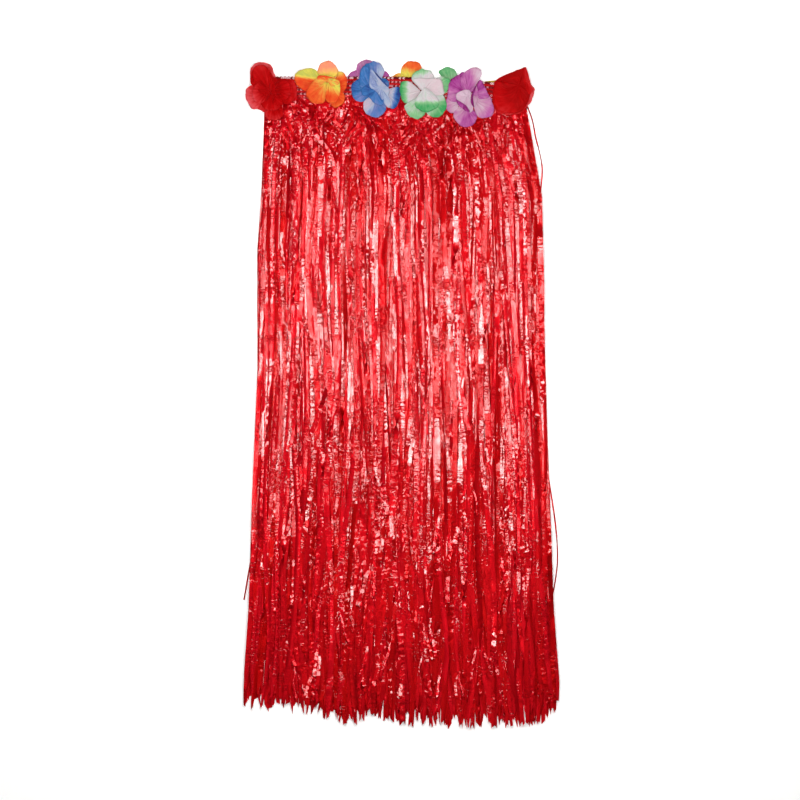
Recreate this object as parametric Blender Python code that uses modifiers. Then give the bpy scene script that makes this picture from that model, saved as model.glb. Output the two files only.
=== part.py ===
"""Hula skirt laid flat: a knitted waistband, five layers of film fringe and eleven cloth flowers.

Metres, +X to the skirt's right as seen from above, +Y towards the waist, +Z up.
The skirt lies on Z = 0 with its back underneath, and the origin is the middle of its box on the floor.
"""

from collections import namedtuple
from math import asin, cos, pi, radians, sin, sqrt
from random import Random

import bmesh
import bpy
from mathutils import Vector

# Seams and walls
SEAM_GAP = 0.0003
PETAL_WALL = 0.001
STRAND_THICK = 0.001

# Waistband, a knitted tube laid flat in two halves, with its rows raised
BAND_LEFT = -0.171
BAND_RIGHT = 0.1585
BAND_HEIGHT = 0.0255
BAND_WALL = 0.0024
BAND_ROWS = 6
ROW_RISE = 0.0005
ROW_CREST = 0.45
BAND_STATIONS = 13
BAND_CORNER_STEPS = 3
BAND_BOW_CENTRE = -0.03
BAND_BOW = 0.34
BAND_FLOOR = 0.0015
BAND_DEPTH = BAND_WALL + ROW_RISE
BAND_MIDDLE = BAND_FLOOR + BAND_DEPTH + SEAM_GAP / 2

# Fringe
HEADER_TOP = BAND_HEIGHT + SEAM_GAP
HEADER_HEIGHT = 0.008
HEADER_STEP = STRAND_THICK + SEAM_GAP
STATION_DROPS = (0.100, 0.255, 0.430, 0.610)
TIP_RAGGED = 0.009
TIP_SLANT = 0.004
TIP_WIDTH = 0.7
ROOT_WIDTH = 0.9
FLOW_FADE = 0.12
FOLD_ACROSS = 0.19
FOLD_ALONG = 0.52

# Side edges of the laid skirt, by their drop below the top of the waistband
Edge = namedtuple("Edge", "drop left right")
SIDE_EDGES = (
    Edge(0.028, -0.168, 0.156),
    Edge(0.066, -0.168, 0.162),
    Edge(0.140, -0.171, 0.1745),
    Edge(0.214, -0.176, 0.176),
    Edge(0.363, -0.176, 0.1795),
    Edge(0.511, -0.182, 0.1845),
    Edge(0.660, -0.187, 0.1895),
    Edge(0.771, -0.1945, 0.198),
    Edge(0.810, -0.1955, 0.199),
)

# Hem line, by its place across the skirt
Hem = namedtuple("Hem", "across drop")
HEM_LINE = (
    Hem(-0.198, 0.772),
    Hem(-0.180, 0.779),
    Hem(-0.130, 0.785),
    Hem(-0.060, 0.795),
    Hem(-0.029, 0.788),
    Hem(0.000, 0.797),
    Hem(0.060, 0.799),
    Hem(0.130, 0.800),
    Hem(0.175, 0.797),
    Hem(0.199, 0.780),
)

# Layers of fringe from the floor up. Flow bends neighbours together, sway bends each strand by itself
Layer = namedtuple("Layer", "name strands width inset body lift tilt flow wave sway seed")
FRINGE = (
    Layer("fringe_back_outer", 34, 0.0058, 0.001, 0.0, 0.0, 0.0, 0.006, 0.37, 0.0008, 11),
    Layer("fringe_back_inner", 32, 0.0058, 0.005, 0.0021, 0.0008, 0.0003, 0.007, 0.45, 0.0009, 23),
    Layer("fringe_front_inner", 36, 0.0056, 0.004, 0.0045, 0.0018, 0.00035, 0.008, 0.41, 0.0007, 37),
    Layer("fringe_front_outer", 40, 0.0055, 0.002, 0.0071, 0.0030, 0.0004, 0.006, 0.53, 0.0006, 41),
    Layer("fringe_front_top", 27, 0.0056, 0.003, 0.0102, 0.0042, 0.0008, 0.013, 0.61, 0.0028, 59),
)

# Petals, each a round lobe: its direction in degrees from +X, how far it reaches and how high its tip is
Petal = namedtuple("Petal", "direction reach rise")
Flower = namedtuple("Flower", "name across drop petals")
PETAL_LOBE = 0.42
OUTER_HUB = 0.013
INNER_HUB = 0.0065
INNER_HUB_RISE = 0.004
HUB_RING = 0.3
MIDDLE_RING = 0.68
OUTER_SAMPLES = 30
INNER_SAMPLES = 20
BACK_SAMPLES = 24
FRONT_FLOWER_FLOOR = BAND_FLOOR + 4 * HEADER_STEP + STRAND_THICK + SEAM_GAP
INNER_REACH = 0.5
INNER_RISE = 0.009
INNER_TURN = 34
FRONT_FLOWERS = (
    Flower("red_left", -0.1585, 0.016, (
        Petal(110, 0.036, 0.006),
        Petal(205, 0.034, 0.004),
        Petal(278, 0.036, 0.007),
        Petal(350, 0.027, 0.008),
        Petal(50, 0.021, 0.006),
    )),
    Flower("orange", -0.0891, 0.0135, (
        Petal(162, 0.036, 0.005),
        Petal(227, 0.027, 0.006),
        Petal(297, 0.028, 0.007),
        Petal(22, 0.026, 0.006),
        Petal(92, 0.030, 0.008),
    )),
    Flower("blue", -0.0272, 0.016, (
        Petal(100, 0.035, 0.007),
        Petal(178, 0.032, 0.005),
        Petal(262, 0.033, 0.008),
        Petal(333, 0.028, 0.006),
        Petal(45, 0.022, 0.006),
    )),
    Flower("green", 0.0285, 0.0185, (
        Petal(95, 0.028, 0.006),
        Petal(170, 0.026, 0.007),
        Petal(244, 0.034, 0.008),
        Petal(305, 0.034, 0.006),
        Petal(20, 0.029, 0.005),
    )),
    Flower("purple", 0.0867, 0.0235, (
        Petal(73, 0.035, 0.006),
        Petal(138, 0.029, 0.007),
        Petal(205, 0.026, 0.007),
        Petal(263, 0.038, 0.006),
        Petal(332, 0.031, 0.005),
    )),
    Flower("red_right", 0.1411, 0.0185, (
        Petal(65, 0.032, 0.007),
        Petal(14, 0.026, 0.005),
        Petal(253, 0.030, 0.008),
        Petal(183, 0.023, 0.006),
        Petal(125, 0.024, 0.006),
    )),
)

# Flowers under the back half: flat, with their top petals beyond the waistband's edge
BACK_FLOWERS = (
    Flower("salmon", -0.0900, 0.0130, (
        Petal(92, 0.034, 0.0),
        Petal(165, 0.026, 0.0),
        Petal(235, 0.022, 0.0),
        Petal(305, 0.022, 0.0),
        Petal(18, 0.025, 0.0),
    )),
    Flower("purple", -0.0400, 0.0130, (
        Petal(88, 0.035, 0.0),
        Petal(150, 0.023, 0.0),
        Petal(228, 0.022, 0.0),
        Petal(306, 0.022, 0.0),
        Petal(30, 0.023, 0.0),
    )),
    Flower("orange", 0.0135, 0.0130, (
        Petal(90, 0.034, 0.0),
        Petal(160, 0.026, 0.0),
        Petal(232, 0.022, 0.0),
        Petal(304, 0.022, 0.0),
        Petal(20, 0.024, 0.0),
    )),
    Flower("green", 0.0640, 0.0140, (
        Petal(92, 0.027, 0.0),
        Petal(160, 0.023, 0.0),
        Petal(232, 0.022, 0.0),
        Petal(300, 0.022, 0.0),
        Petal(20, 0.022, 0.0),
    )),
    Flower("yellow", 0.1130, 0.0215, (
        Petal(90, 0.018, 0.0),
        Petal(165, 0.022, 0.0),
        Petal(236, 0.022, 0.0),
        Petal(302, 0.022, 0.0),
        Petal(18, 0.022, 0.0),
    )),
)

# Colour as red, green, blue, then roughness
Finish = namedtuple("Finish", "red green blue roughness")
FILM = Finish(0.62, 0.01, 0.02, 0.28)
KNIT = Finish(0.42, 0.01, 0.03, 0.75)
PETAL_FINISHES = {
    "red_left": Finish(0.58, 0.02, 0.03, 0.70),
    "red_right": Finish(0.58, 0.02, 0.03, 0.70),
    "orange": Finish(0.95, 0.35, 0.06, 0.65),
    "salmon": Finish(0.95, 0.42, 0.25, 0.65),
    "blue": Finish(0.12, 0.25, 0.62, 0.65),
    "green": Finish(0.20, 0.62, 0.32, 0.65),
    "purple": Finish(0.58, 0.20, 0.55, 0.65),
    "yellow": Finish(0.95, 0.80, 0.20, 0.65),
}


def clear_scene():
    """Removes whatever the open file holds."""
    for old in list(bpy.data.objects):
        bpy.data.objects.remove(old, do_unlink=True)


def make_material(name, finish):
    """A Principled material in one colour."""
    material = bpy.data.materials.new(name)
    material.use_nodes = True
    shader = material.node_tree.nodes["Principled BSDF"]
    shader.inputs["Base Color"].default_value = (finish.red, finish.green, finish.blue, 1.0)
    shader.inputs["Roughness"].default_value = finish.roughness
    shader.inputs["Metallic"].default_value = 0.0
    return material


def add_object(name, mesh, finish, collection, holder):
    """Puts a mesh in the collection under the skirt's empty, with its own material."""
    piece = bpy.data.objects.new(name, mesh)
    piece.parent = holder
    mesh.materials.append(make_material(name, finish))
    collection.objects.link(piece)
    return piece


def add_wall(piece, thickness):
    """Thickens an open surface upwards, so that the surface drawn stays the underside."""
    wall = piece.modifiers.new("wall", "SOLIDIFY")
    wall.thickness = thickness
    wall.offset = 1.0
    wall.use_even_offset = False


def smooth_step(value):
    """0 below 0, 1 above 1, and an even curve between."""
    value = min(max(value, 0.0), 1.0)
    return value * value * (3.0 - 2.0 * value)


def between(rows, place, key, column):
    """Reads a column of a table at a place between its rows."""
    first = rows[0]
    for second in rows[1:]:
        if getattr(second, key) >= place:
            break
        first = second
    span = getattr(second, key) - getattr(first, key)
    share = min(max((place - getattr(first, key)) / span, 0.0), 1.0)
    return getattr(first, column) * (1.0 - share) + getattr(second, column) * share


def band_drop(across):
    """How far the waistband sags below a straight line, which is most at its right end."""
    return BAND_BOW * max(across - BAND_BOW_CENTRE, 0.0) ** 2


def band_stations():
    """Places across the waistband, with how full its wall is there: round at both folds."""
    corner = []
    for step in range(BAND_CORNER_STEPS):
        angle = (pi / 2) * (step + 0.25) / BAND_CORNER_STEPS
        corner.append((BAND_DEPTH * (1.0 - cos(angle)), sin(angle)))
    stations = [(BAND_LEFT + inward, full) for inward, full in corner]
    first = BAND_LEFT + BAND_DEPTH
    length = BAND_RIGHT - BAND_LEFT - 2 * BAND_DEPTH
    for step in range(BAND_STATIONS):
        stations.append((first + length * step / (BAND_STATIONS - 1), 1.0))
    stations += [(BAND_RIGHT - inward, full) for inward, full in reversed(corner)]
    return stations


def row_profile():
    """Points across the knitted rows: each a drop below the band's top and a share of the row's rise."""
    pitch = BAND_HEIGHT / BAND_ROWS
    flank = pitch * (1.0 - ROW_CREST) / 2
    points = [(0.0, 0.0)]
    for row in range(BAND_ROWS):
        points.append((row * pitch + flank, 1.0))
        points.append(((row + 1) * pitch - flank, 1.0))
        points.append(((row + 1) * pitch, 0.0))
    return points


def make_band(name, outward, collection, holder):
    """Half of the flattened waistband: outward is +1 for the front and -1 for the back."""
    inner = BAND_MIDDLE + outward * SEAM_GAP / 2
    profile = row_profile()
    shape = bmesh.new()
    loops = []
    for across, full in band_stations():
        sag = band_drop(across)
        loop = [
            shape.verts.new((across, -BAND_HEIGHT - sag, inner)),
            shape.verts.new((across, -sag, inner)),
        ]
        for drop, raised in profile:
            rise = (BAND_WALL + raised * ROW_RISE) * full
            loop.append(shape.verts.new((across, -drop - sag, inner + outward * rise)))
        loops.append(loop)
    count = len(loops[0])
    for here, there in zip(loops, loops[1:]):
        for index in range(count):
            after = (index + 1) % count
            shape.faces.new((here[index], here[after], there[after], there[index]))
    shape.faces.new(loops[0])
    shape.faces.new(loops[-1])
    bmesh.ops.recalc_face_normals(shape, faces=shape.faces)
    mesh = bpy.data.meshes.new(name)
    shape.to_mesh(mesh)
    shape.free()
    return add_object(name, mesh, KNIT, collection, holder)


def fold_height(across, drop):
    """Soft folds that the whole fringe shares, from 0 to 1."""
    wave = sin(2 * pi * (across / FOLD_ACROSS + drop / FOLD_ALONG))
    cross = cos(2 * pi * (across / FOLD_ACROSS * 0.55 - drop / FOLD_ALONG * 1.3))
    return 0.5 + 0.3 * wave + 0.2 * cross


def strand_centre(layer, share, drop, lean, phase):
    """Middle of a strand at a drop: between the side edges, bent by the layer's flow and its own sway."""
    left = between(SIDE_EDGES, drop, "drop", "left") + layer.inset + layer.width / 2
    right = between(SIDE_EDGES, drop, "drop", "right") - layer.inset - layer.width / 2
    fade = smooth_step((drop - HEADER_TOP) / FLOW_FADE)
    flow = layer.flow * sin(pi * share) * sin(2 * pi * (drop / layer.wave + 0.9 * share) + layer.seed)
    sway = layer.sway * lean * sin(2 * pi * drop / (0.6 * layer.wave) + phase)
    return left + share * (right - left) + (flow + sway) * fade


def strand_edges(layer, index, root_level, draw):
    """Left and right points of one strand, from the top of the header to the tip."""
    share = index / (layer.strands - 1)
    lean = draw.uniform(0.3, 1.0)
    phase = draw.uniform(0.0, 2 * pi)
    twist = draw.uniform(0.0, 2 * pi)
    slant = draw.uniform(-TIP_SLANT, TIP_SLANT)
    header_bottom = HEADER_TOP + HEADER_HEIGHT
    root = strand_centre(layer, share, HEADER_TOP, 0.0, 0.0)
    half = layer.width * ROOT_WIDTH / 2
    left, right = [], []
    for side, across in ((left, root - half), (right, root + half)):
        sag = band_drop(across)
        side.append((across, -HEADER_TOP - sag, root_level))
        side.append((across, -header_bottom - sag, root_level))
    hem = between(HEM_LINE, strand_centre(layer, share, 0.78, lean, phase), "across", "drop")
    tip = hem + draw.uniform(-TIP_RAGGED, TIP_RAGGED)
    for number, drop in enumerate(STATION_DROPS + (tip,)):
        last = drop == tip
        centre = strand_centre(layer, share, drop, lean, phase)
        half = layer.width * (TIP_WIDTH if last else draw.uniform(0.92, 1.0)) / 2
        level = layer.body + layer.lift * fold_height(centre, drop)
        turn = layer.tilt * sin(twist + 1.9 * number)
        cut = slant if last else 0.0
        left.append((centre - half, -drop - cut, level - turn))
        right.append((centre + half, -drop + cut, level + turn))
    return left, right


def make_fringe(layer, number, collection, holder):
    """One layer of fringe: strands cut from a comb, their roots fused into a narrow header strip."""
    draw = Random(layer.seed)
    root_level = BAND_FLOOR + number * HEADER_STEP
    comb = bmesh.new()
    before = None
    for index in range(layer.strands):
        sides = strand_edges(layer, index, root_level, draw)
        left, right = ([comb.verts.new(point) for point in side] for side in sides)
        for row in range(len(left) - 1):
            comb.faces.new((left[row], left[row + 1], right[row + 1], right[row]))
        if before:
            comb.faces.new((before[0], before[1], left[1], left[0]))
        before = right
    mesh = bpy.data.meshes.new(layer.name)
    comb.to_mesh(mesh)
    comb.free()
    piece = add_object(layer.name, mesh, FILM, collection, holder)
    add_wall(piece, STRAND_THICK)
    return piece


def whorl_outline(petals, angle, hub, hub_rise):
    """How far a whorl of round petals reaches at an angle, and how high its rim is there."""
    reach, rise = hub, hub_rise
    for petal in petals:
        off = radians((angle - petal.direction + 180) % 360 - 180)
        lobe = petal.reach * PETAL_LOBE
        middle = petal.reach - lobe
        if abs(off) >= asin(lobe / middle):
            continue
        out = middle * cos(off) + sqrt(lobe**2 - (middle * sin(off)) ** 2)
        if out > reach:
            reach, rise = out, max(petal.rise * (out / petal.reach) ** 2, hub_rise)
    return reach, rise


def make_whorl(name, centre, petals, samples, hub, hub_rise, finish, collection, holder):
    """A ring of petals cut in one sheet, flat at its middle and rising to its rim."""
    sheet = bmesh.new()
    middle = sheet.verts.new((0.0, 0.0, 0.0))
    rings = [[], [], []]
    for sample in range(samples):
        angle = 360.0 * sample / samples
        reach, rise = whorl_outline(petals, angle, hub, hub_rise)
        way = Vector((cos(radians(angle)), sin(radians(angle)), 0.0))
        for ring, share in zip(rings, (HUB_RING, MIDDLE_RING, 1.0)):
            height = rise * max((share - HUB_RING) / (1.0 - HUB_RING), 0.0) ** 1.5
            ring.append(sheet.verts.new(way * reach * share + Vector((0.0, 0.0, height))))
    for sample in range(samples):
        after = (sample + 1) % samples
        sheet.faces.new((middle, rings[0][sample], rings[0][after]))
        for inner, outer in zip(rings, rings[1:]):
            sheet.faces.new((inner[sample], outer[sample], outer[after], inner[after]))
    mesh = bpy.data.meshes.new(name)
    sheet.to_mesh(mesh)
    sheet.free()
    piece = add_object(name, mesh, finish, collection, holder)
    piece.location = centre
    add_wall(piece, PETAL_WALL)
    return piece


def make_front_flower(flower, collection, holder):
    """A flower on the front half: a whorl of outer petals with a smaller, steeper one sewn on it."""
    finish = PETAL_FINISHES[flower.name]
    name = "flower_front_" + flower.name
    centre = Vector((flower.across, -flower.drop, FRONT_FLOWER_FLOOR))
    outer = make_whorl(
        name + "_outer", centre, flower.petals, OUTER_SAMPLES, OUTER_HUB, 0.0, finish, collection, holder
    )
    folded = []
    for petal in flower.petals:
        turned = petal.direction + INNER_TURN
        folded.append(Petal(turned, petal.reach * INNER_REACH, INNER_RISE))
    above = centre + Vector((0.0, 0.0, PETAL_WALL + SEAM_GAP))
    inner = make_whorl(
        name + "_inner", above, folded, INNER_SAMPLES, INNER_HUB, INNER_HUB_RISE, finish, collection, holder
    )
    return [outer, inner]


def make_back_flower(flower, collection, holder):
    """A flower under the back half, flat between the waistband and the floor."""
    centre = Vector((flower.across, -flower.drop, 0.0))
    name = "flower_back_" + flower.name
    finish = PETAL_FINISHES[flower.name]
    return make_whorl(
        name, centre, flower.petals, BACK_SAMPLES, OUTER_HUB, 0.0, finish, collection, holder
    )


def centre_on_floor(pieces, holder):
    """Moves the empty so that the middle of the skirt's box is over the origin."""
    bpy.context.view_layer.update()
    graph = bpy.context.evaluated_depsgraph_get()
    corners = []
    for piece in pieces:
        shown = piece.evaluated_get(graph)
        corners += [shown.matrix_world @ Vector(corner) for corner in shown.bound_box]
    for axis in (0, 1):
        places = [corner[axis] for corner in corners]
        holder.location[axis] = -(min(places) + max(places)) / 2


def main():
    clear_scene()
    collection = bpy.data.collections.new("hula_skirt")
    bpy.context.scene.collection.children.link(collection)
    holder = bpy.data.objects.new("skirt", None)
    collection.objects.link(holder)
    pieces = [
        make_band("waistband_back", -1, collection, holder),
        make_band("waistband_front", 1, collection, holder),
    ]
    for number, layer in enumerate(FRINGE):
        pieces.append(make_fringe(layer, number, collection, holder))
    for flower in FRONT_FLOWERS:
        pieces += make_front_flower(flower, collection, holder)
    for flower in BACK_FLOWERS:
        pieces.append(make_back_flower(flower, collection, holder))
    centre_on_floor(pieces, holder)


main()
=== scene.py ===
import bpy
import math
import numpy as np
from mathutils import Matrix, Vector


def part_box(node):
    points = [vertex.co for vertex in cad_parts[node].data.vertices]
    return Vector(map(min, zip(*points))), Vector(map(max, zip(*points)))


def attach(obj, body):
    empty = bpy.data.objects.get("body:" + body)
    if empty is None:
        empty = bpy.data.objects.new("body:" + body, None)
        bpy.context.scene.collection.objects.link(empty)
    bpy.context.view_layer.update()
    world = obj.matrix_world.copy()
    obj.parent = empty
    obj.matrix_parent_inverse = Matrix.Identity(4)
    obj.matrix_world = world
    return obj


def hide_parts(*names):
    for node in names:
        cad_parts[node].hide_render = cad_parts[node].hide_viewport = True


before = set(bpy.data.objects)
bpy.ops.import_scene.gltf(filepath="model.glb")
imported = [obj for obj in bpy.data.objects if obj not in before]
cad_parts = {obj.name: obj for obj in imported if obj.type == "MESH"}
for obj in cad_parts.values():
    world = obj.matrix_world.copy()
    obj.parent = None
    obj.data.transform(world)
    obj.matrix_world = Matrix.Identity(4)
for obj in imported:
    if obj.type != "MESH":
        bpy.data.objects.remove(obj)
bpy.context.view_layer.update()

# Places are drops below the waistband's top edge and distances across from the middle line, in metres
view = {
    "pixel": 0.001238,       # one pixel of the photo at the skirt
    "pixels": 800,
    "bandTopRow": 77,        # where the waistband's top edge is in the photo
    "leftFold": 0.171,       # from the waistband's left fold to the middle line
    "height": 2.75,
    "lookHeight": 0.01,
    "sensor": 36.0,
}
bandLow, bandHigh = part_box("waistband_front")
bandTop = bandHigh.y
middleX = bandLow.x + view["leftFold"]


def worldY(drop):
    return bandTop - drop


def paint(red, green, blue):
    # a colour as the eye reads it, 0 to 255, in linear light
    def linear(value):
        value /= 255.0
        return value / 12.92 if value <= 0.04045 else ((value + 0.055) / 1.055) ** 2.4

    return (linear(red), linear(green), linear(blue), 1.0)


# Camera and light
def makeCamera():
    lens = bpy.data.cameras.new("camera")
    reach = view["height"] - view["lookHeight"]
    lens.sensor_width = view["sensor"]
    lens.lens = view["sensor"] * reach / (view["pixels"] * view["pixel"])
    camera = bpy.data.objects.new("camera", lens)
    centreY = bandTop - (view["pixels"] / 2 - view["bandTopRow"]) * view["pixel"]
    camera.location = (middleX, centreY, view["height"])
    bpy.context.scene.collection.objects.link(camera)
    bpy.context.scene.camera = camera


lights = {
    # name: place, what it faces, width, length, power, whether the film mirrors it
    "overhead": ((0.0, 0.160, 1.20), (0.0, 0.160, 0.0), 0.52, 0.62, 14.7, True),
    "left": ((-2.1, 0.0, 1.5), (0.0, 0.0, 0.0), 1.2, 1.6, 8.6, False),
    "right": ((2.1, 0.0, 1.5), (0.0, 0.0, 0.0), 1.2, 1.6, 8.6, False),
    "top": ((0.0, 2.3, 1.5), (0.0, 0.0, 0.0), 1.6, 1.0, 9.0, False),
    "bottom": ((0.0, -2.3, 1.5), (0.0, 0.0, 0.0), 1.6, 1.0, 9.0, False),
}
studio = {
    "lampColour": (1.0, 0.985, 0.97),
    "airColour": (1.0, 1.0, 1.0, 1.0),
    "airStrength": 0.01,
    "floorSize": 60.0,
    "floorDark": (0.93, 0.93, 0.93, 1.0),
    "floorPale": (0.95, 0.95, 0.95, 1.0),
    "floorGlow": 0.3,
}


def makeLights():
    for name, (place, target, width, length, power, mirrored) in lights.items():
        lamp = bpy.data.lights.new(name, "AREA")
        lamp.shape = "RECTANGLE"
        lamp.size = width
        lamp.size_y = length
        lamp.energy = power
        lamp.color = studio["lampColour"]
        light = bpy.data.objects.new(name, lamp)
        light.location = place
        way = Vector(target) - Vector(place)
        light.rotation_euler = way.to_track_quat("-Z", "Y").to_euler()
        light.visible_camera = False
        light.visible_glossy = mirrored
        bpy.context.scene.collection.objects.link(light)
    world = bpy.data.worlds.new("studio")
    world.use_nodes = True
    air = world.node_tree.nodes["Background"]
    setInputs(air, {"Color": studio["airColour"], "Strength": studio["airStrength"]})
    bpy.context.scene.world = world
    bpy.context.scene.view_settings.view_transform = "Standard"


# Node helpers
def addNode(tree, kind, **settings):
    node = tree.nodes.new(kind)
    for key, value in settings.items():
        setattr(node, key, value)
    return node


def feed(tree, source, target):
    tree.links.new(source, target)


def setInputs(node, values):
    for title, value in values.items():
        node.inputs[title].default_value = value


def fill(tree, socket, value):
    # a plain number or colour is set, anything else is linked
    if isinstance(value, (int, float, tuple)):
        socket.default_value = value
    else:
        feed(tree, value, socket)


def newMaterial(name):
    material = bpy.data.materials.new(name)
    material.use_nodes = True
    tree = material.node_tree
    return material, tree, tree.nodes["Principled BSDF"]


def newGroup(name, inputs, outputs):
    # a group of number sockets; each input comes with its value
    group = bpy.data.node_groups.new(name, "ShaderNodeTree")
    for title, value in inputs.items():
        socket = group.interface.new_socket(title, in_out="INPUT", socket_type="NodeSocketFloat")
        socket.default_value = value
    for title in outputs:
        group.interface.new_socket(title, in_out="OUTPUT", socket_type="NodeSocketFloat")
    return group, group.nodes.new("NodeGroupInput"), group.nodes.new("NodeGroupOutput")


def maths(tree, operation, *values):
    node = addNode(tree, "ShaderNodeMath", operation=operation)
    for socket, value in zip(node.inputs, values):
        fill(tree, socket, value)
    return node.outputs["Value"]


def plus(tree, first, second):
    return maths(tree, "ADD", first, second)


def minus(tree, first, second):
    return maths(tree, "SUBTRACT", first, second)


def times(tree, first, second):
    return maths(tree, "MULTIPLY", first, second)


def crossing(tree, value, sharpness):
    # 1 where the value crosses its middle, falling to 0 on both sides
    off = maths(tree, "ABSOLUTE", minus(tree, value, 0.5))
    return maths(tree, "MAXIMUM", minus(tree, 1.0, times(tree, off, sharpness)), 0.0)


def mapRange(tree, value, fromRange=(0.0, 1.0), toRange=(0.0, 1.0)):
    node = addNode(tree, "ShaderNodeMapRange")
    feed(tree, value, node.inputs["Value"])
    setInputs(node, dict(zip(("From Min", "From Max", "To Min", "To Max"), (*fromRange, *toRange))))
    return node.outputs["Result"]


def combine(tree, *values):
    node = addNode(tree, "ShaderNodeCombineXYZ")
    for socket, value in zip(node.inputs, values):
        feed(tree, value, socket)
    return node.outputs["Vector"]


def mapPlaces(tree, title):
    # the two coordinates of a UV layer
    layer = addNode(tree, "ShaderNodeUVMap", uv_map=title)
    parts = addNode(tree, "ShaderNodeSeparateXYZ")
    feed(tree, layer.outputs["UV"], parts.inputs["Vector"])
    return parts.outputs["X"], parts.outputs["Y"]


def noiseAt(tree, place, detail, scale=1.0, distortion=0.0):
    texture = addNode(tree, "ShaderNodeTexNoise")
    feed(tree, place, texture.inputs["Vector"])
    setInputs(texture, {"Scale": scale, "Detail": detail, "Distortion": distortion})
    return texture.outputs["Fac"]


def chanceAt(tree, *place):
    # an even chance from 0 to 1 for each whole place
    chance = addNode(tree, "ShaderNodeTexWhiteNoise", noise_dimensions="2D")
    feed(tree, combine(tree, *place), chance.inputs["Vector"])
    return chance.outputs["Value"]


def blendColour(tree, share, first, second):
    # the factor and the two colours of a Mix node are its inputs 0, 6 and 7
    node = addNode(tree, "ShaderNodeMix", data_type="RGBA")
    for number, value in ((0, share), (6, first), (7, second)):
        fill(tree, node.inputs[number], value)
    return node.outputs[2]


def setRamp(ramp, stops):
    while len(ramp.elements) > 1:
        ramp.elements.remove(ramp.elements[-1])
    ramp.elements[0].position = stops[0][0]
    ramp.elements[0].color = stops[0][1]
    for place, colour in stops[1:]:
        ramp.elements.new(place).color = colour


def addBump(tree, height, strength, distance, below=None):
    bump = addNode(tree, "ShaderNodeBump")
    setInputs(bump, {"Strength": strength, "Distance": distance})
    feed(tree, height, bump.inputs["Height"])
    if below is not None:
        feed(tree, below, bump.inputs["Normal"])
    return bump.outputs["Normal"]


# Mesh and shape helpers
def gridQuads(index):
    # the quads of a grid of point numbers, or of a stack of grids
    corners = (index[..., :-1, :-1], index[..., 1:, :-1], index[..., 1:, 1:], index[..., :-1, 1:])
    return np.stack(corners, axis=-1).reshape(-1, 4)


def quadMesh(name, points, quads, material, maps):
    # maps: each UV layer's name, with the place of every point
    mesh = bpy.data.meshes.new(name)
    mesh.vertices.add(len(points))
    mesh.vertices.foreach_set("co", points.astype(np.float32).reshape(-1))
    mesh.loops.add(quads.size)
    mesh.loops.foreach_set("vertex_index", quads.reshape(-1).astype(np.int32))
    mesh.polygons.add(len(quads))
    mesh.polygons.foreach_set("loop_start", np.arange(0, quads.size, 4, dtype=np.int32))
    mesh.polygons.foreach_set("loop_total", np.full(len(quads), 4, dtype=np.int32))
    mesh.update(calc_edges=True)
    for title, values in maps.items():
        layer = mesh.uv_layers.new(name=title)
        layer.data.foreach_set("uv", values[quads.reshape(-1)].astype(np.float32).reshape(-1))
    mesh.materials.append(material)
    piece = bpy.data.objects.new(name, mesh)
    bpy.context.scene.collection.objects.link(piece)
    return piece


def thicken(piece, thickness, offset):
    wall = piece.modifiers.new("wall", "SOLIDIFY")
    wall.thickness = thickness
    wall.offset = offset


def between(value, low, high):
    # 0 up to low, 1 from high on, and even between them
    return np.clip((value - low) / (high - low), 0.0, 1.0)


def smoothStep(value):
    value = np.clip(value, 0.0, 1.0)
    return value * value * (3 - 2 * value)


def roundOff(points, count, steps=12):
    # a smooth open line through the points, evenly spaced
    points = np.array(points, dtype=float)
    before = np.vstack([2 * points[0] - points[1], points[:-1]])
    after = np.vstack([points[1:], 2 * points[-1] - points[-2]])
    slope = (after - before) / 2
    t = np.linspace(0, 1, steps, endpoint=False)[:, None]
    line = [
        (2 * t**3 - 3 * t**2 + 1) * points[k] + (t**3 - 2 * t**2 + t) * slope[k]
        + (3 * t**2 - 2 * t**3) * points[k + 1] + (t**3 - t**2) * slope[k + 1]
        for k in range(len(points) - 1)
    ]
    line = np.vstack([*line, points[-1:]])
    run = np.concatenate([[0], np.cumsum(np.linalg.norm(np.diff(line, axis=0), axis=1))])
    even = np.linspace(0, run[-1], count)
    return np.stack([np.interp(even, run, line[:, 0]), np.interp(even, run, line[:, 1])], axis=-1)


# Waistband
band = {
    "left": -view["leftFold"],
    "right": 0.1585,
    "height": 0.0255,
    "rows": 5,
    "firstRow": 0.0009,      # drop of the first row's middle
    "rowPitch": 0.0049,
    "sag": 0.34,             # how fast the right end hangs lower
    "sagFrom": -0.03,
    "frontZ": 0.0070,
    "backZ": 0.0021,
    "rib": 0.00035,          # how far each knitted row stands proud
    "ripple": 0.35,          # of that, from stitch to stitch
    "wall": 0.0009,
    "stitch": 0.0047,
    "steps": 3,              # points to each stitch
    "rowSteps": 6,
    "scallop": 0.0013,
    "cut": (0.66, 0.0255),
    "lean": 0.8,             # of a stitch, for each row's height
    "yarns": 4,              # ridges in a stitch
    "deep": (0.14, 0.0, 0.001, 1.0),
    "red": (0.62, 0.004, 0.008, 1.0),
    "redness": (1.3, 0.5),   # how red grows away from the row's middle, and with the grain
    "rough": 0.7,
    "gloss": 0.15,
}
thread = {
    "radius": 0.00050,
    "sides": 5,
    "steps": 6,              # points to each stitch
    "loop": 0.00105,         # how far a chain's loop swings to each side
    "wobble": 0.0002,
    "wobbleStitches": 11.0,
    "seed": 301,
    "pale": (paint(244, 212, 218), paint(226, 158, 166)),  # on the first row, and below it
    "dark": (paint(96, 2, 12), paint(120, 6, 14)),
    "paleFrom": 0.48,        # a loop is pale where its chance is above this
    "turnShare": 0.4,        # how far pale and dark take turns
    "twist": 60.0,
    "rough": 0.55,
    "gloss": 0.2,
}


def bandSag(across):
    return band["sag"] * np.maximum(np.asarray(across) - band["sagFrom"], 0.0) ** 2


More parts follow.
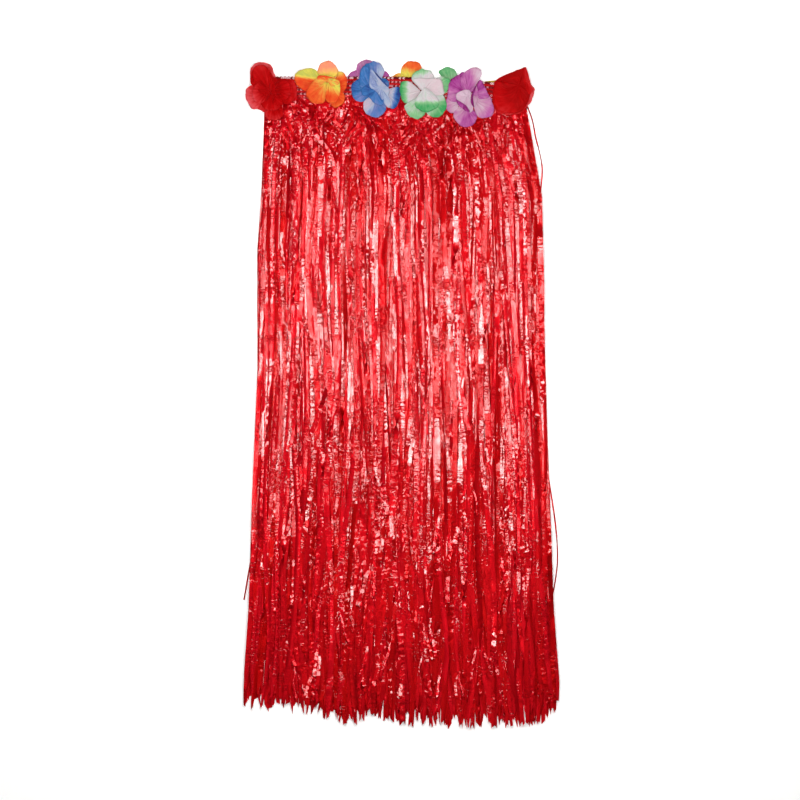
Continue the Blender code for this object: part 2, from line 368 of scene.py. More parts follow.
def makeKnit():
    # the elastic's face: V-shaped stitches in rows, dark on the rows and red between them
    material, tree, shader = newMaterial("knitFace")
    u, v = mapPlaces(tree, "knit")
    fromRow = maths(tree, "ABSOLUTE", minus(tree, maths(tree, "FRACT", v), 0.5))
    leaning = plus(tree, u, times(tree, fromRow, band["lean"]))
    stitch = maths(tree, "SINE", times(tree, leaning, 2 * math.pi * band["yarns"]))
    grain = noiseAt(tree, combine(tree, u, v), 3.0, scale=3.0)
    edgeRed, grainRed = band["redness"]
    share = plus(tree, times(tree, fromRow, edgeRed), times(tree, grain, grainRed))
    feed(tree, blendColour(tree, share, band["deep"], band["red"]), shader.inputs["Base Color"])
    feed(tree, addBump(tree, stitch, 0.5, 0.0002), shader.inputs["Normal"])
    setInputs(shader, {"Roughness": band["rough"], "Specular IOR Level": band["gloss"]})
    return material


def makeThread():
    # chain thread: near white on the first row, greyer pink below, with dark red loops among them
    material, tree, shader = newMaterial("knitThread")
    u, v = mapPlaces(tree, "knit")
    lower = maths(tree, "GREATER_THAN", v, 0.75)  # every row below the first
    pale = blendColour(tree, lower, *thread["pale"])
    dark = blendColour(tree, lower, *thread["dark"])
    chance = chanceAt(tree, maths(tree, "FLOOR", times(tree, u, 2.0)), maths(tree, "FLOOR", v))
    turn = maths(tree, "GREATER_THAN", maths(tree, "FRACT", u), 0.5)
    mixed = plus(tree, times(tree, turn, thread["turnShare"]), times(tree, chance, 1 - thread["turnShare"]))
    some = maths(tree, "GREATER_THAN", mixed, thread["paleFrom"])
    feed(tree, blendColour(tree, some, dark, pale), shader.inputs["Base Color"])
    twist = maths(tree, "SINE", times(tree, u, thread["twist"]))
    feed(tree, addBump(tree, twist, 0.5, 0.0001), shader.inputs["Normal"])
    setInputs(shader, {"Roughness": thread["rough"], "Specular IOR Level": thread["gloss"]})
    return material


def bandStitches():
    # whole stitches round the flattened tube
    radius = (band["frontZ"] - band["backZ"]) / 2
    run = band["right"] - band["left"] - 2 * radius
    return round(2 * (run + math.pi * radius) / band["stitch"])


def bandRound(count):
    # places round the flattened tube, as across and height, and the way out at each
    radius = (band["frontZ"] - band["backZ"]) / 2
    middle = (band["frontZ"] + band["backZ"]) / 2
    first, last = band["left"] + radius, band["right"] - radius
    run, turn = last - first, math.pi * radius
    total = 2 * (run + turn)
    s = np.arange(count) / count * total
    rightFold = between(s, run, run + turn) * math.pi
    leftFold = between(s, 2 * run + turn, total) * math.pi
    angle = math.pi / 2 - rightFold - leftFold
    onFront = s < run
    onBack = (s >= run + turn) & (s < 2 * run + turn)
    across = np.where(s < run + turn, last, first)
    across = np.where(onFront, first + s, across)
    across = np.where(onBack, last - (s - run - turn), across)
    out = np.stack([np.cos(angle), np.sin(angle)], axis=-1)
    out[onFront] = (0.0, 1.0)
    out[onBack] = (0.0, -1.0)
    return np.stack([across + radius * out[:, 0], middle + radius * out[:, 1]], axis=-1), out


def makeBandCloth(material):
    stitches = bandStitches()
    place, out = bandRound(stitches * band["steps"])
    s = np.arange(len(place)) / len(place) * stitches
    drops = np.linspace(0.0, band["height"], band["rows"] * band["rowSteps"] + 1)
    row = (drops - band["firstRow"]) / band["rowPitch"] + 0.5
    proud = band["rib"] * (0.5 - 0.5 * np.cos(2 * np.pi * row))
    ripple = band["ripple"] * band["rib"] * np.sin(2 * np.pi * s)
    push = proud[:, None] + ripple[None, :] * (0.4 + 0.6 * np.sin(np.pi * row) ** 2)[:, None]
    points = np.zeros((len(drops), len(place), 3))
    points[:, :, 0] = middleX + place[:, 0] + push * out[:, 0]
    points[:, :, 1] = worldY(drops[:, None] + bandSag(place[:, 0]))
    points[:, :, 2] = place[:, 1] + push * out[:, 1]
    scallop = band["scallop"] * np.abs(np.sin(np.pi * s))
    points[0, :, 1] += scallop
    points[-1, :, 1] -= scallop
    index = np.arange(len(drops) * len(place)).reshape(len(drops), len(place))
    quads = gridQuads(np.pad(index, ((0, 0), (0, 1)), mode="wrap"))  # the last column joins the first
    knit = np.stack(np.broadcast_arrays(s[None, :], row[:, None]), axis=-1).reshape(-1, 2)
    piece = quadMesh("waistbandKnit", points.reshape(-1, 3), quads, material, {"knit": knit})
    thicken(piece, band["wall"], -1.0)
    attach(piece, "root")
    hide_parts("waistband_front", "waistband_back")
    return piece


def cutBand():
    # prints the elastic's cut, round the waist and from edge to edge
    print(f"waistband: cut {band['cut'][0] * 100:.0f} cm round, {band['cut'][1] * 1000:.1f} mm wide")


def threadRings(path):
    # a closed thread: a ring of points round each point of its path
    ahead = np.roll(path, -1, axis=0) - np.roll(path, 1, axis=0)
    ahead /= np.linalg.norm(ahead, axis=1)[:, None]
    side = np.cross(ahead, np.array([0.0, 1.0, 0.0]))
    side /= np.maximum(np.linalg.norm(side, axis=1), 1e-9)[:, None]
    over = np.cross(side, ahead)
    angle = (np.arange(thread["sides"]) / thread["sides"] * 2 * np.pi)[None, :, None]
    outward = np.cos(angle) * side[:, None, :] + np.sin(angle) * over[:, None, :]
    return path[:, None, :] + thread["radius"] * outward


def makeChains(material):
    # each knitted row carries a chain of paired loops all round the waistband
    stitches = bandStitches()
    count = stitches * thread["steps"]
    place, out = bandRound(count)
    s = np.arange(count) / count * stitches
    size = count * thread["sides"]
    index = np.arange(size).reshape(count, thread["sides"])
    ringQuads = gridQuads(np.pad(index, ((0, 1), (0, 1)), mode="wrap"))
    points, quads, knit = [], [], []
    rng = np.random.default_rng(thread["seed"])
    for row in range(band["rows"]):
        drop = band["firstRow"] + row * band["rowPitch"]
        slip = rng.uniform(0, 1)
        wobble = thread["wobble"] * np.sin(2 * np.pi * s / thread["wobbleStitches"] + row)
        for strand in (0, 1):
            phase = np.pi * strand + 2 * np.pi * slip
            swing = thread["loop"] * np.sin(2 * np.pi * s + phase)
            over = band["rib"] + thread["radius"] * (0.5 + 0.7 * np.cos(2 * np.pi * s + phase))
            path = np.stack(
                [middleX + place[:, 0] + over * out[:, 0],
                 worldY(drop + bandSag(place[:, 0])) + swing + wobble,
                 place[:, 1] + over * out[:, 1]], axis=-1,
            )
            quads.append(ringQuads + len(points) * size)
            points.append(threadRings(path).reshape(-1, 3))
            knit.append(np.stack([np.repeat(s, thread["sides"]), np.full(size, row + 0.5 * strand)], axis=-1))
    piece = quadMesh("waistbandChains", np.concatenate(points), np.concatenate(quads), material,
                     {"knit": np.concatenate(knit)})
    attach(piece, "root")
    return piece


# Film
film = {
    "deep": (0.48, 0.0003, 0.0013, 1.0),
    "bright": (0.64, 0.002, 0.011, 1.0),
    # painted shade: the dark red that the strips' colour takes in the hair creases
    "hair": (0.14, 0.0002, 0.001, 1.0),
    "depth": 0.66,           # share of the light that comes back from the layers beneath, as red gloss
    "depthRough": (0.48, 0.64),
    "specular": 0.1,
    "skinIor": 1.85,         # the clear gloss of the top surface
    "skinRough": 0.08,
    "skinWeight": (0.04, 1.0),
    "bump": 0.75,
    "bumpDepth": 0.00055,
    "calmWidths": (58.0, 90.0),  # strip widths from the waist where the crinkles fade
    "calmLeast": 0.68,
    "patch": (0.42, 0.62),   # noise from none to full ladders, and the same for hair creases
    "hairPatch": (0.49, 0.57),
    "between": 0.2,          # height of the ridges between the patches
    "crumple": 0.7,
    "streak": 0.22,
    "hairSharp": 12.0,
    "hairGroove": 0.5,
    # share of that painted shade in the hair creases
    "hairShade": 0.45,
    "hairDull": 0.95,
    "stretch": 0.09,         # changes of gloss for each strip width of length
    "stretchSlip": 0.377,    # from strip to strip
    "soft": (0.30, 0.70),
    "softShare": 0.35,
    "contrast": 2.6,
    # noise over a strip: scale across, scale along, slip from strip to strip, detail, distortion
    "noises": {
        "patch": (0.0, 0.13, 3.17, 2.0, 0.0),
        "ladder": (0.4, 3.0, 7.31, 1.0, 0.0),
        "crumple": (2.4, 2.0, 4.77, 2.0, 0.4),
        "streak": (3.2, 0.10, 1.93, 1.0, 0.0),
        "hair": (0.55, 1.5, 9.13, 1.0, 0.4),
        "hairPatch": (0.0, 0.21, 5.71, 1.0, 0.0),
        "stretch": (0.0, 0.3, 2.3, 0.0, 0.0),
        "soft": (1.5, 0.8, 6.7, 3.0, 0.0),
    },
    # for each side, how far strips differ in colour and how creased they are
    "sides": {"front": (0.9, 1.0), "back": (0.45, 0.6)},
}


def makeCreaseGroup():
    # ladders of ridges and hair creases that run across a strip in patches, and stretches of even gloss
    group, into, out = newGroup(
        "filmCreases",
        {"Across": 0.0, "Along": 0.0, "Strip": 0.0, "Amount": 0.5},
        ("Height", "Hairs", "Gloss", "Dull"),
    )
    across, along, strip, amount = (into.outputs[title] for title in ("Across", "Along", "Strip", "Amount"))

    def noise(title):
        acrossScale, alongScale, slip, detail, distortion = film["noises"][title]
        place = combine(group, times(group, across, acrossScale), times(group, along, alongScale),
                        times(group, strip, slip))
        return noiseAt(group, place, detail, distortion=distortion)

    patch = times(group, mapRange(group, noise("patch"), film["patch"]), amount)
    crumpled = plus(group, times(group, patch, film["crumple"]), film["between"])
    rise = plus(group, times(group, noise("ladder"), plus(group, patch, film["between"])),
                times(group, noise("crumple"), crumpled))
    rise = plus(group, rise, times(group, noise("streak"), film["streak"]))
    hair = crossing(group, noise("hair"), film["hairSharp"])
    hair = times(group, hair, mapRange(group, noise("hairPatch"), film["hairPatch"]))
    hair = times(group, hair, amount)
    feed(group, hair, out.inputs["Hairs"])
    feed(group, minus(group, rise, times(group, hair, film["hairGroove"])), out.inputs["Height"])

    length = plus(group, times(group, along, film["stretch"]), times(group, strip, film["stretchSlip"]))
    length = plus(group, length, noise("stretch"))
    tone = chanceAt(group, strip, maths(group, "FLOOR", length))
    soft = times(group, mapRange(group, noise("soft"), film["soft"]), film["softShare"])
    gloss = plus(group, times(group, tone, 1 - film["softShare"]), soft)
    feed(group, maths(group, "POWER", gloss, film["contrast"]), out.inputs["Gloss"])
    feed(group, maths(group, "FRACT", times(group, tone, 7.0)), out.inputs["Dull"])
    return group


def makeFilm(name, creases, side):
    # strips carry their number and the way across in U, and their length in strip widths in V
    tint, amount = film["sides"][side]
    material, tree, shader = newMaterial(name)
    u, v = mapPlaces(tree, "strip")
    number = maths(tree, "FLOOR", u)
    crease = addNode(tree, "ShaderNodeGroup", node_tree=creases)
    crease.inputs["Amount"].default_value = amount
    feed(tree, maths(tree, "FRACT", u), crease.inputs["Across"])
    feed(tree, v, crease.inputs["Along"])
    feed(tree, number, crease.inputs["Strip"])
    tone = addNode(tree, "ShaderNodeTexWhiteNoise", noise_dimensions="1D")
    feed(tree, number, tone.inputs["W"])
    colour = blendColour(tree, times(tree, tone.outputs["Value"], tint), film["deep"], film["bright"])
    # painted shade: the strips' colour darkens towards the crease colour in the hair creases
    paintedShade = times(tree, crease.outputs["Hairs"], film["hairShade"])
    feed(tree, blendColour(tree, paintedShade, colour, film["hair"]), shader.inputs["Base Color"])
    rough = mapRange(tree, crease.outputs["Dull"], toRange=film["depthRough"])
    feed(tree, rough, shader.inputs["Roughness"])
    skin = mapRange(tree, crease.outputs["Gloss"], toRange=film["skinWeight"])
    clear = minus(tree, 1.0, times(tree, crease.outputs["Hairs"], film["hairDull"]))
    feed(tree, times(tree, skin, clear), shader.inputs["Coat Weight"])
    calm = mapRange(tree, v, film["calmWidths"], (1.0, film["calmLeast"]))
    normal = addBump(tree, times(tree, crease.outputs["Height"], calm), film["bump"], film["bumpDepth"])
    feed(tree, normal, shader.inputs["Normal"])
    feed(tree, normal, shader.inputs["Coat Normal"])
    setInputs(shader, {
        "Metallic": film["depth"], "Specular IOR Level": film["specular"],
        "Coat Roughness": film["skinRough"], "Coat IOR": film["skinIor"],
    })
    return material


# Fringe
fringe = {
    # the skirt's sides at some drops, and the hem's drop at some places across
    "edgeDrops": (0.022, 0.066, 0.140, 0.214, 0.363, 0.511, 0.660, 0.771, 0.815),
    "edgeLefts": (-0.167, -0.168, -0.171, -0.176, -0.176, -0.182, -0.187, -0.1945, -0.1955),
    "edgeRights": (0.155, 0.162, 0.1745, 0.176, 0.1795, 0.1845, 0.1895, 0.198, 0.199),
    "hemAcross": (-0.198, -0.180, -0.130, -0.060, -0.029, 0.000, 0.060, 0.130, 0.175, 0.199),
    "hemDrops": (0.768, 0.777, 0.782, 0.794, 0.786, 0.796, 0.798, 0.799, 0.795, 0.776),
    "hemHalf": 0.197,
    "hemUneven": (-0.012, 0.008),
    "shortShare": 0.12,      # strips that end higher, by no more than the length below
    "shortBy": 0.12,
    "slant": 0.005,          # of the cut tips
    "floorGap": 0.0003,
    "rootDrop": 0.0215,
    "rootUneven": 0.0006,
    "rootRise": 0.115,       # over this length the strips spread from the knit to their own height
    "sagFade": 0.35,         # by this drop the waistband's sag has faded out
    "stripWidth": 0.0074,
    "narrowest": {"front": 0.50, "back": 0.90},  # of that width
    "taperFrom": 0.965,      # share of the length where the tips start to narrow
    "tipNarrowing": (0.25, 0.92),
    "overhang": 0.012,       # share of the skirt's width by which strips may start further out
    "wanderFade": 0.09,      # over this length from the root they come to wander
    "splayDrops": (0.44, 0.80),  # between these drops they come to splay
    "splay": {"front": 0.011, "back": 0.00385},
    "foldAcross": 0.19,
    "foldAlong": 0.52,
    "bodyWaver": 0.18,       # how a strip's height varies along it, as a share of its layer's spread
    "turnStretch": 0.14,     # shares of the length between changes of tilt, curl and crumpling
    "curlStretch": 0.13,
    "patchStretch": 0.05,
    "curl": 0.07,
    "fold": 0.065,
    "flipPlaces": (0.08, 0.92),
    "flipRows": 2.2,         # how softly a strip turns over
    "flatDrops": (0.17, 0.42),  # between these drops the strips lie flatter
    "flatFade": 0.05,
    "flatShare": 0.76,
    "waistFacet": (0.125, 0.011),  # how steep the flat stretches between creases lie, and their length
    "waistFacetDrops": ((0.03, 0.05), (0.09, 0.15)),  # where they come in, and where they fade
    "hemFacet": (0.125, 0.018),
    "hemFacetDrops": (0.43, 0.57),
    "lively": 2.2,           # how few strips have the steepest facets near the hem
    "crowdPitch": 0.062,
    "crowdBroad": 0.17,
    "crowdDrops": (0.03, 0.13),  # between these drops the crowding fades
    "crowdCrumple": 1.8,
    "leastCrumple": 0.06,
}

# Layers from the floor up. body and lift are heights, spread the scatter of one strip's height,
# turn how far its flat stretches tilt in degrees, crumple the depth of its creases
layers = {
    "fringeBackOuter": {
        "node": "fringe_back_outer", "side": "back", "count": 104, "rows": 110, "cols": 3, "body": 0.0004,
        "lift": 0.0002, "spread": 0.0014, "root": 0.0022, "turn": 5.0, "crumple": 0.00025, "wander": 0.0018,
        "flips": 0.0, "seed": 101,
    },
    "fringeBackInner": {
        "node": "fringe_back_inner", "side": "back", "count": 90, "rows": 110, "cols": 3, "body": 0.0020,
        "lift": 0.0010, "spread": 0.0016, "root": 0.0034, "turn": 9.0, "crumple": 0.0003, "wander": 0.0022,
        "flips": 0.1, "seed": 102,
    },
    "fringeFrontInner": {
        "node": "fringe_front_inner", "side": "front", "count": 88, "rows": 240, "cols": 3, "body": 0.0044,
        "lift": 0.0020, "spread": 0.0020, "root": 0.0048, "turn": 7.0, "crumple": 0.0004, "wander": 0.0035,
        "flips": 0.2, "seed": 103,
    },
    "fringeFrontOuter": {
        "node": "fringe_front_outer", "side": "front", "count": 86, "rows": 330, "cols": 4, "body": 0.0068,
        "lift": 0.0032, "spread": 0.0024, "root": 0.0060, "turn": 7.0, "crumple": 0.0005, "wander": 0.0040,
        "flips": 0.3, "seed": 104,
    },
    "fringeFrontTop": {
        "node": "fringe_front_top", "side": "front", "count": 62, "rows": 400, "cols": 4, "body": 0.0094,
        "lift": 0.0040, "spread": 0.0028, "root": 0.0066, "turn": 7.5, "crumple": 0.0006, "wander": 0.0075,
        "flips": 0.5, "seed": 105,
    },
}


def foldHeight(across, drop):
    # broad folds from 0 to 1, two waves that cross
    along = drop / fringe["foldAlong"]
    across = across / fringe["foldAcross"]
    wave = np.sin(2 * np.pi * (across + along))
    cross = np.cos(2 * np.pi * (across * 0.55 - along * 1.3))
    return 0.5 + 0.3 * wave + 0.2 * cross


def gathering(across, drop):
    # how crowded the strips are under the waistband, from calm to crumpled
    wave = np.sin(2 * np.pi * (across / fringe["crowdPitch"] + 0.35 * np.sin(drop / 0.011)) + 1.1)
    broad = np.sin(2 * np.pi * across / fringe["crowdBroad"])
    return np.clip(0.5 + 0.55 * wave + 0.25 * broad, 0.08, 1.0)


def sidesAt(drop):
    left = np.interp(drop, fringe["edgeDrops"], fringe["edgeLefts"])
    return left, np.interp(drop, fringe["edgeDrops"], fringe["edgeRights"])


def softNoise(rng, count, rows, waves, spread):
    # a smooth wandering line for each strip
    t = np.linspace(0.0, 1.0, rows)
    line = np.zeros((count, rows))
    for wave in waves:
        phase = rng.uniform(0, 2 * np.pi, (count, 1))
        pace = wave * rng.uniform(0.7, 1.3, (count, 1))
        size = rng.uniform(0.2, 1.0, (count, 1)) / wave**0.6
        line += size * np.sin(2 * np.pi * pace * t + phase)
    return line * spread


def steppedNoise(rng, rows, stretch, spread, soften):
    # flat stretches that change over a few rows, as where a strip is creased and turns
    places, values = [0.0], [rng.normal(0, spread)]
    place = 0.0
    while place < rows:
        place += rng.exponential(stretch) + soften
        places += [place, place + soften]
        values += [values[-1], rng.normal(0, spread)]
    return np.interp(np.arange(rows), places, values)


def steppedStrips(rng, count, rows, stretch, spread, soften):
    return np.stack([steppedNoise(rng, rows, stretch, spread, soften) for _ in range(count)])


def facetHeights(rng, lengths, steep, stretch):
    # rises and falls in flat stretches along each strip, with the slow drift taken out
    count, rows = lengths.shape
    step = np.abs(np.diff(lengths, axis=1, prepend=lengths[:, :1]))
    pace = max(stretch / max(step.mean(), 1e-6), 1.0)
    slopes = steppedStrips(rng, count, rows, pace, 1.0, 0.5)
    rise = np.cumsum(slopes * steep * step, axis=1)
    window = min(2 * int(2.5 * pace) + 1, rows)
    padded = np.pad(rise, ((0, 0), (window // 2, window // 2)), mode="edge")
    sums = np.cumsum(np.pad(padded, ((0, 0), (1, 0))), axis=1)
    drift = (sums[:, window:] - sums[:, :-window]) / window
    return rise - drift[:, :rows]


def stripMesh(name, points, lengths, material):
    # points: strips x rows x columns x XYZ. Lengths: metres along each strip
    count, rows, cols, _ = points.shape
    index = np.arange(count * rows * cols).reshape(count, rows, cols)
    u = np.arange(count)[:, None, None] + np.linspace(0.02, 0.98, cols)
    v = (lengths / fringe["stripWidth"])[:, :, None]
    places = np.stack(np.broadcast_arrays(u, v), axis=-1).reshape(-1, 2)
    return quadMesh(name, points.reshape(-1, 3), gridQuads(index), material, {"strip": places})


def placeStrips(rng, look):
    # how far across and down each row of each strip lies
    count, rows = look["count"], look["rows"]
    share = (np.arange(count) + 0.5 + rng.uniform(-0.45, 0.45, count)) / count
    share = share[:, None] * (1 + 2 * fringe["overhang"]) - fringe["overhang"]
    hemAt = np.interp(share[:, 0], (0, 1), (-fringe["hemHalf"], fringe["hemHalf"]))
    tip = np.interp(hemAt, fringe["hemAcross"], fringe["hemDrops"]) + rng.uniform(*fringe["hemUneven"], count)
    tip = tip - (rng.random(count) < fringe["shortShare"]) * rng.uniform(0, fringe["shortBy"], count)
    root = fringe["rootDrop"]
    drop = root + (tip[:, None] - root) * np.linspace(0, 1, rows)
    wander = softNoise(rng, count, rows, (0.8, 1.8), look["wander"])
    wander = wander * between(drop, root, root + fringe["wanderFade"])
    splay = softNoise(rng, count, rows, (2.2, 4.2), fringe["splay"][look["side"]])
    splay = splay * between(drop, *fringe["splayDrops"]) ** 1.4
    left, right = sidesAt(drop)
    half = fringe["stripWidth"] / 2
    across = left + half + share * (right - left - 2 * half) + wander + splay
    return np.clip(across, left + half * 0.6, right - half * 0.6), drop


def stripWidths(rng, look):
    # half widths, narrowing at the tips
    count, rows = look["count"], look["rows"]
    width = fringe["stripWidth"] / 2 * (0.97 + 0.10 * softNoise(rng, count, rows, (3.0, 9.0), 1.0))
    width *= rng.uniform(fringe["narrowest"][look["side"]], 1.0, (count, 1))
    near = between(np.linspace(0, 1, rows), fringe["taperFrom"], 1.0)
    return width * (1 - rng.uniform(*fringe["tipNarrowing"], (count, 1)) * near**1.3)


def stripTurns(rng, look, drop):
    # how far each row tilts; some strips turn over at one place
    count, rows = drop.shape
    turn = steppedStrips(rng, count, rows, rows * fringe["turnStretch"], look["turn"], 1.5)
    first, last = fringe["flatDrops"]
    inside = between(np.minimum(drop - first, last - drop), 0.0, fringe["flatFade"])
    turn *= 1 - (1 - fringe["flatShare"]) * inside
    for strip in np.flatnonzero(rng.random(count) < look["flips"]):
        centre = rng.uniform(*fringe["flipPlaces"]) * rows
        turn[strip] += 180 / (1 + np.exp(-(np.arange(rows) - centre) / fringe["flipRows"]))
    return np.radians(turn)


def stripHeights(rng, look, across, drop):
    # each row's height, and its drop with the waistband's sag
    count, rows = drop.shape
    roots = look["root"] + rng.uniform(-fringe["rootUneven"], fringe["rootUneven"], (count, 1))
    body = look["body"] + look["spread"] * rng.random((count, 1))
    body = body + look["lift"] * foldHeight(across, drop)
    body = body + softNoise(rng, count, rows, (5.0, 11.0), look["spread"] * fringe["bodyWaver"])
    drop = drop + bandSag(across) * (1 - between(drop, 0.0, fringe["sagFade"]))
    settle = smoothStep((drop - fringe["rootDrop"]) / fringe["rootRise"])
    height = roots * (1 - settle) + body * settle
    if look["side"] == "front":
        start, end = fringe["waistFacetDrops"]
        steep, stretch = fringe["waistFacet"]
        steep = steep * between(drop, *start) * (1 - between(drop, *end))
        height = height + facetHeights(rng, drop, steep, stretch)
        lively = rng.random((count, 1)) ** fringe["lively"]
        steep, stretch = fringe["hemFacet"]
        steep = steep * between(drop, *fringe["hemFacetDrops"]) * lively
        height = height + facetHeights(rng, drop, steep, stretch)
    return height, drop


def creaseDepths(rng, look, across, drop):
    # deepest in patches, and where the strips crowd under the waistband
    count, rows = drop.shape
    patchy = steppedStrips(rng, count, rows, rows * fringe["patchStretch"], 1.6, 2.0)
    crowded = (1 - between(drop, *fringe["crowdDrops"])) * gathering(across, drop)
    depth = np.clip(patchy - 0.5, 0, 1.4) + fringe["crowdCrumple"] * crowded + fringe["leastCrumple"]
    return look["crumple"] * depth


def makeFringe(name, look, material):
    rng = np.random.default_rng(look["seed"])
    count, rows, cols = look["count"], look["rows"], look["cols"]
    across, drop = placeStrips(rng, look)
    width = stripWidths(rng, look)
    turn = stripTurns(rng, look, drop)
    curl = steppedStrips(rng, count, rows, rows * fringe["curlStretch"], fringe["curl"], 1.5)
    fold = steppedStrips(rng, count, rows, rows * fringe["curlStretch"], fringe["fold"], 1.5)
    height, drop = stripHeights(rng, look, across, drop)
    crumple = creaseDepths(rng, look, across, drop)
    zigzag = np.where(np.arange(rows) % 2 == 0, 1.0, -1.0) * rng.uniform(0.1, 1.0, (count, rows))
    points = np.zeros((count, rows, cols, 3))
    for col, side in enumerate(np.linspace(-1.0, 1.0, cols)):
        crease = np.roll(zigzag, col % 2, axis=1) + rng.normal(0, 0.5, (count, rows))
        flat = side * width
        proud = width * (curl * side**2 + fold * (1 - abs(side)) * 1.5) + crease * crumple
        points[:, :, col, 0] = middleX + across + flat * np.cos(turn) - proud * np.sin(turn)
        points[:, :, col, 1] = worldY(drop) + 0.6 * crumple * rng.normal(0, 1, (count, rows))
        points[:, :, col, 2] = height + flat * np.sin(turn) + proud * np.cos(turn)
    slant = rng.uniform(-fringe["slant"], fringe["slant"], count)
    points[:, -1, 0, 1] += slant
    points[:, -1, -1, 1] -= slant
    points[:, :, :, 2] = np.maximum(points[:, :, :, 2], fringe["floorGap"])
    piece = stripMesh(name, points, drop, material)
    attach(piece, "root")
    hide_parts(look["node"])
    return piece


# Short crumpled strips that lie aslant under the waistband and here and there down the skirt. The ones
# at the waist leave the knit, the low ones lie over the others below the crowded strips
tangle = {
    "count": 340,
    "rows": 22,
    "seed": 201,
    "low": 0.38,             # share of low ones
    "waistStarts": (0.024, 0.060),
    "waistLengths": (0.03, 0.075),
    "waistSlope": 0.45,
    "lowStarts": (0.745, 0.62, 1.35),  # lowest start, reach up from it, and how few start high up
    "lowLengths": (0.02, 0.055),
    "lowSlopes": ((0.35, 0.65), (0.08, 0.24)),  # drops, and the scatter of the slope there
    "lowBend": 0.3,          # of the bend and of the turn at the waist
    "lowTurn": 0.4,
    "lowest": 0.768,
    "places": (-0.150, 0.142),
    "sideGap": 0.004,
    "bend": 0.003,
    "turn": 15.0,
    "turnStretch": 0.3,
    "crumple": 0.0003,
    "halfWidths": (0.22, 0.72),  # of a long strip's half width
    "lowHeight": 0.0119,
    "waistHeights": ((0.045, 0.095), (0.0080, 0.0110)),  # drops, and the height there
    "waistRoot": 0.0068,     # height where they leave the knit, and the length of their rise
    "waistRise": 0.012,
    "uneven": 0.001,
    "folds": 0.0044,
    "foldDrops": (0.06, 0.12),
    "arch": 0.0016,
    "lean": 0.6,             # how fast their slope grows with the distance from the level drop
    "leanSpread": (0.6, 1.3),
    "levelDrop": 0.30,
    "reach": 0.0065,         # the most that a piece's end stands above its other end
    "facet": 0.16,
    "facetLength": 0.009,
}


def makeTangle(material):
    rng = np.random.default_rng(tangle["seed"])
    count, rows = tangle["count"], tangle["rows"]
    low = rng.random(count) < tangle["low"]
    last, reach, few = tangle["lowStarts"]
    start = np.where(low, last - reach * rng.random(count) ** few, rng.uniform(*tangle["waistStarts"], count))
    length = np.where(
        low, rng.uniform(*tangle["lowLengths"], count), rng.uniform(*tangle["waistLengths"], count)
    )
    length = np.minimum(length, tangle["lowest"] - start)
    lowSlope = rng.normal(0, np.interp(start, *tangle["lowSlopes"]), count)
    slope = np.where(low, lowSlope, rng.normal(0, tangle["waistSlope"], count))
    t = np.linspace(0, 1, rows)[None, :]
    along = t * length[:, None]
    bend = softNoise(rng, count, rows, (0.6, 1.4), tangle["bend"])
    bend = bend * np.where(low, tangle["lowBend"], 1.0)[:, None]

    # the ones at the waist take the most crowded of four chances
    place = rng.uniform(*tangle["places"], (4, count))
    crowd = gathering(place, start[None, :])
    best = np.where(low, 0, np.argmax(crowd * rng.random((4, count)), axis=0))
    place = place[best, np.arange(count)]
    drop = start[:, None] + along * np.cos(slope)[:, None]
    drop = drop + np.where(low, 0.0, bandSag(place))[:, None]
    left, right = sidesAt(drop)
    across = place[:, None] + along * np.sin(slope)[:, None] + bend
    across = np.clip(across, left + tangle["sideGap"], right - tangle["sideGap"])

    body = np.where(low[:, None], tangle["lowHeight"], np.interp(drop, *tangle["waistHeights"]))
    body = body + rng.uniform(-tangle["uneven"], tangle["uneven"], (count, 1))
    body = body + tangle["folds"] * foldHeight(across, drop) * between(drop, *tangle["foldDrops"])
    body = body + np.sin(np.pi * t) * rng.uniform(0.0, tangle["arch"], (count, 1))
    lean = tangle["lean"] * (start - tangle["levelDrop"]) * rng.uniform(*tangle["leanSpread"], count)
    lean = np.clip(lean, -tangle["reach"] / length, tangle["reach"] / length)
    body = body + lean[:, None] * (along - 0.4 * length[:, None])
    facets = facetHeights(rng, along, tangle["facet"], tangle["facetLength"])
    rise = between(along, 0.0, tangle["waistRise"])
    height = np.where(low[:, None], body, (body + facets) * rise + tangle["waistRoot"] * (1 - rise))

    half = fringe["stripWidth"] / 2 * rng.uniform(*tangle["halfWidths"], (count, 1))
    turn = np.radians(steppedStrips(rng, count, rows, rows * tangle["turnStretch"], tangle["turn"], 2.0))
    turn = turn * np.where(low, tangle["lowTurn"], 1.0)[:, None]
    points = np.zeros((count, rows, 3, 3))
    for col, side in enumerate((-1.0, 0.0, 1.0)):
        crease = rng.normal(0, 1.0, (count, rows)) * tangle["crumple"]
        flat = side * half * np.cos(turn)
        points[:, :, col, 0] = middleX + across + flat * np.cos(slope)[:, None]
        points[:, :, col, 1] = worldY(drop) + flat * np.sin(slope)[:, None] + crease * 0.5
        points[:, :, col, 2] = height + side * half * np.sin(turn) + crease
    piece = stripMesh("fringeTangle", points, drop, material)
    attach(piece, "root")
    return piece


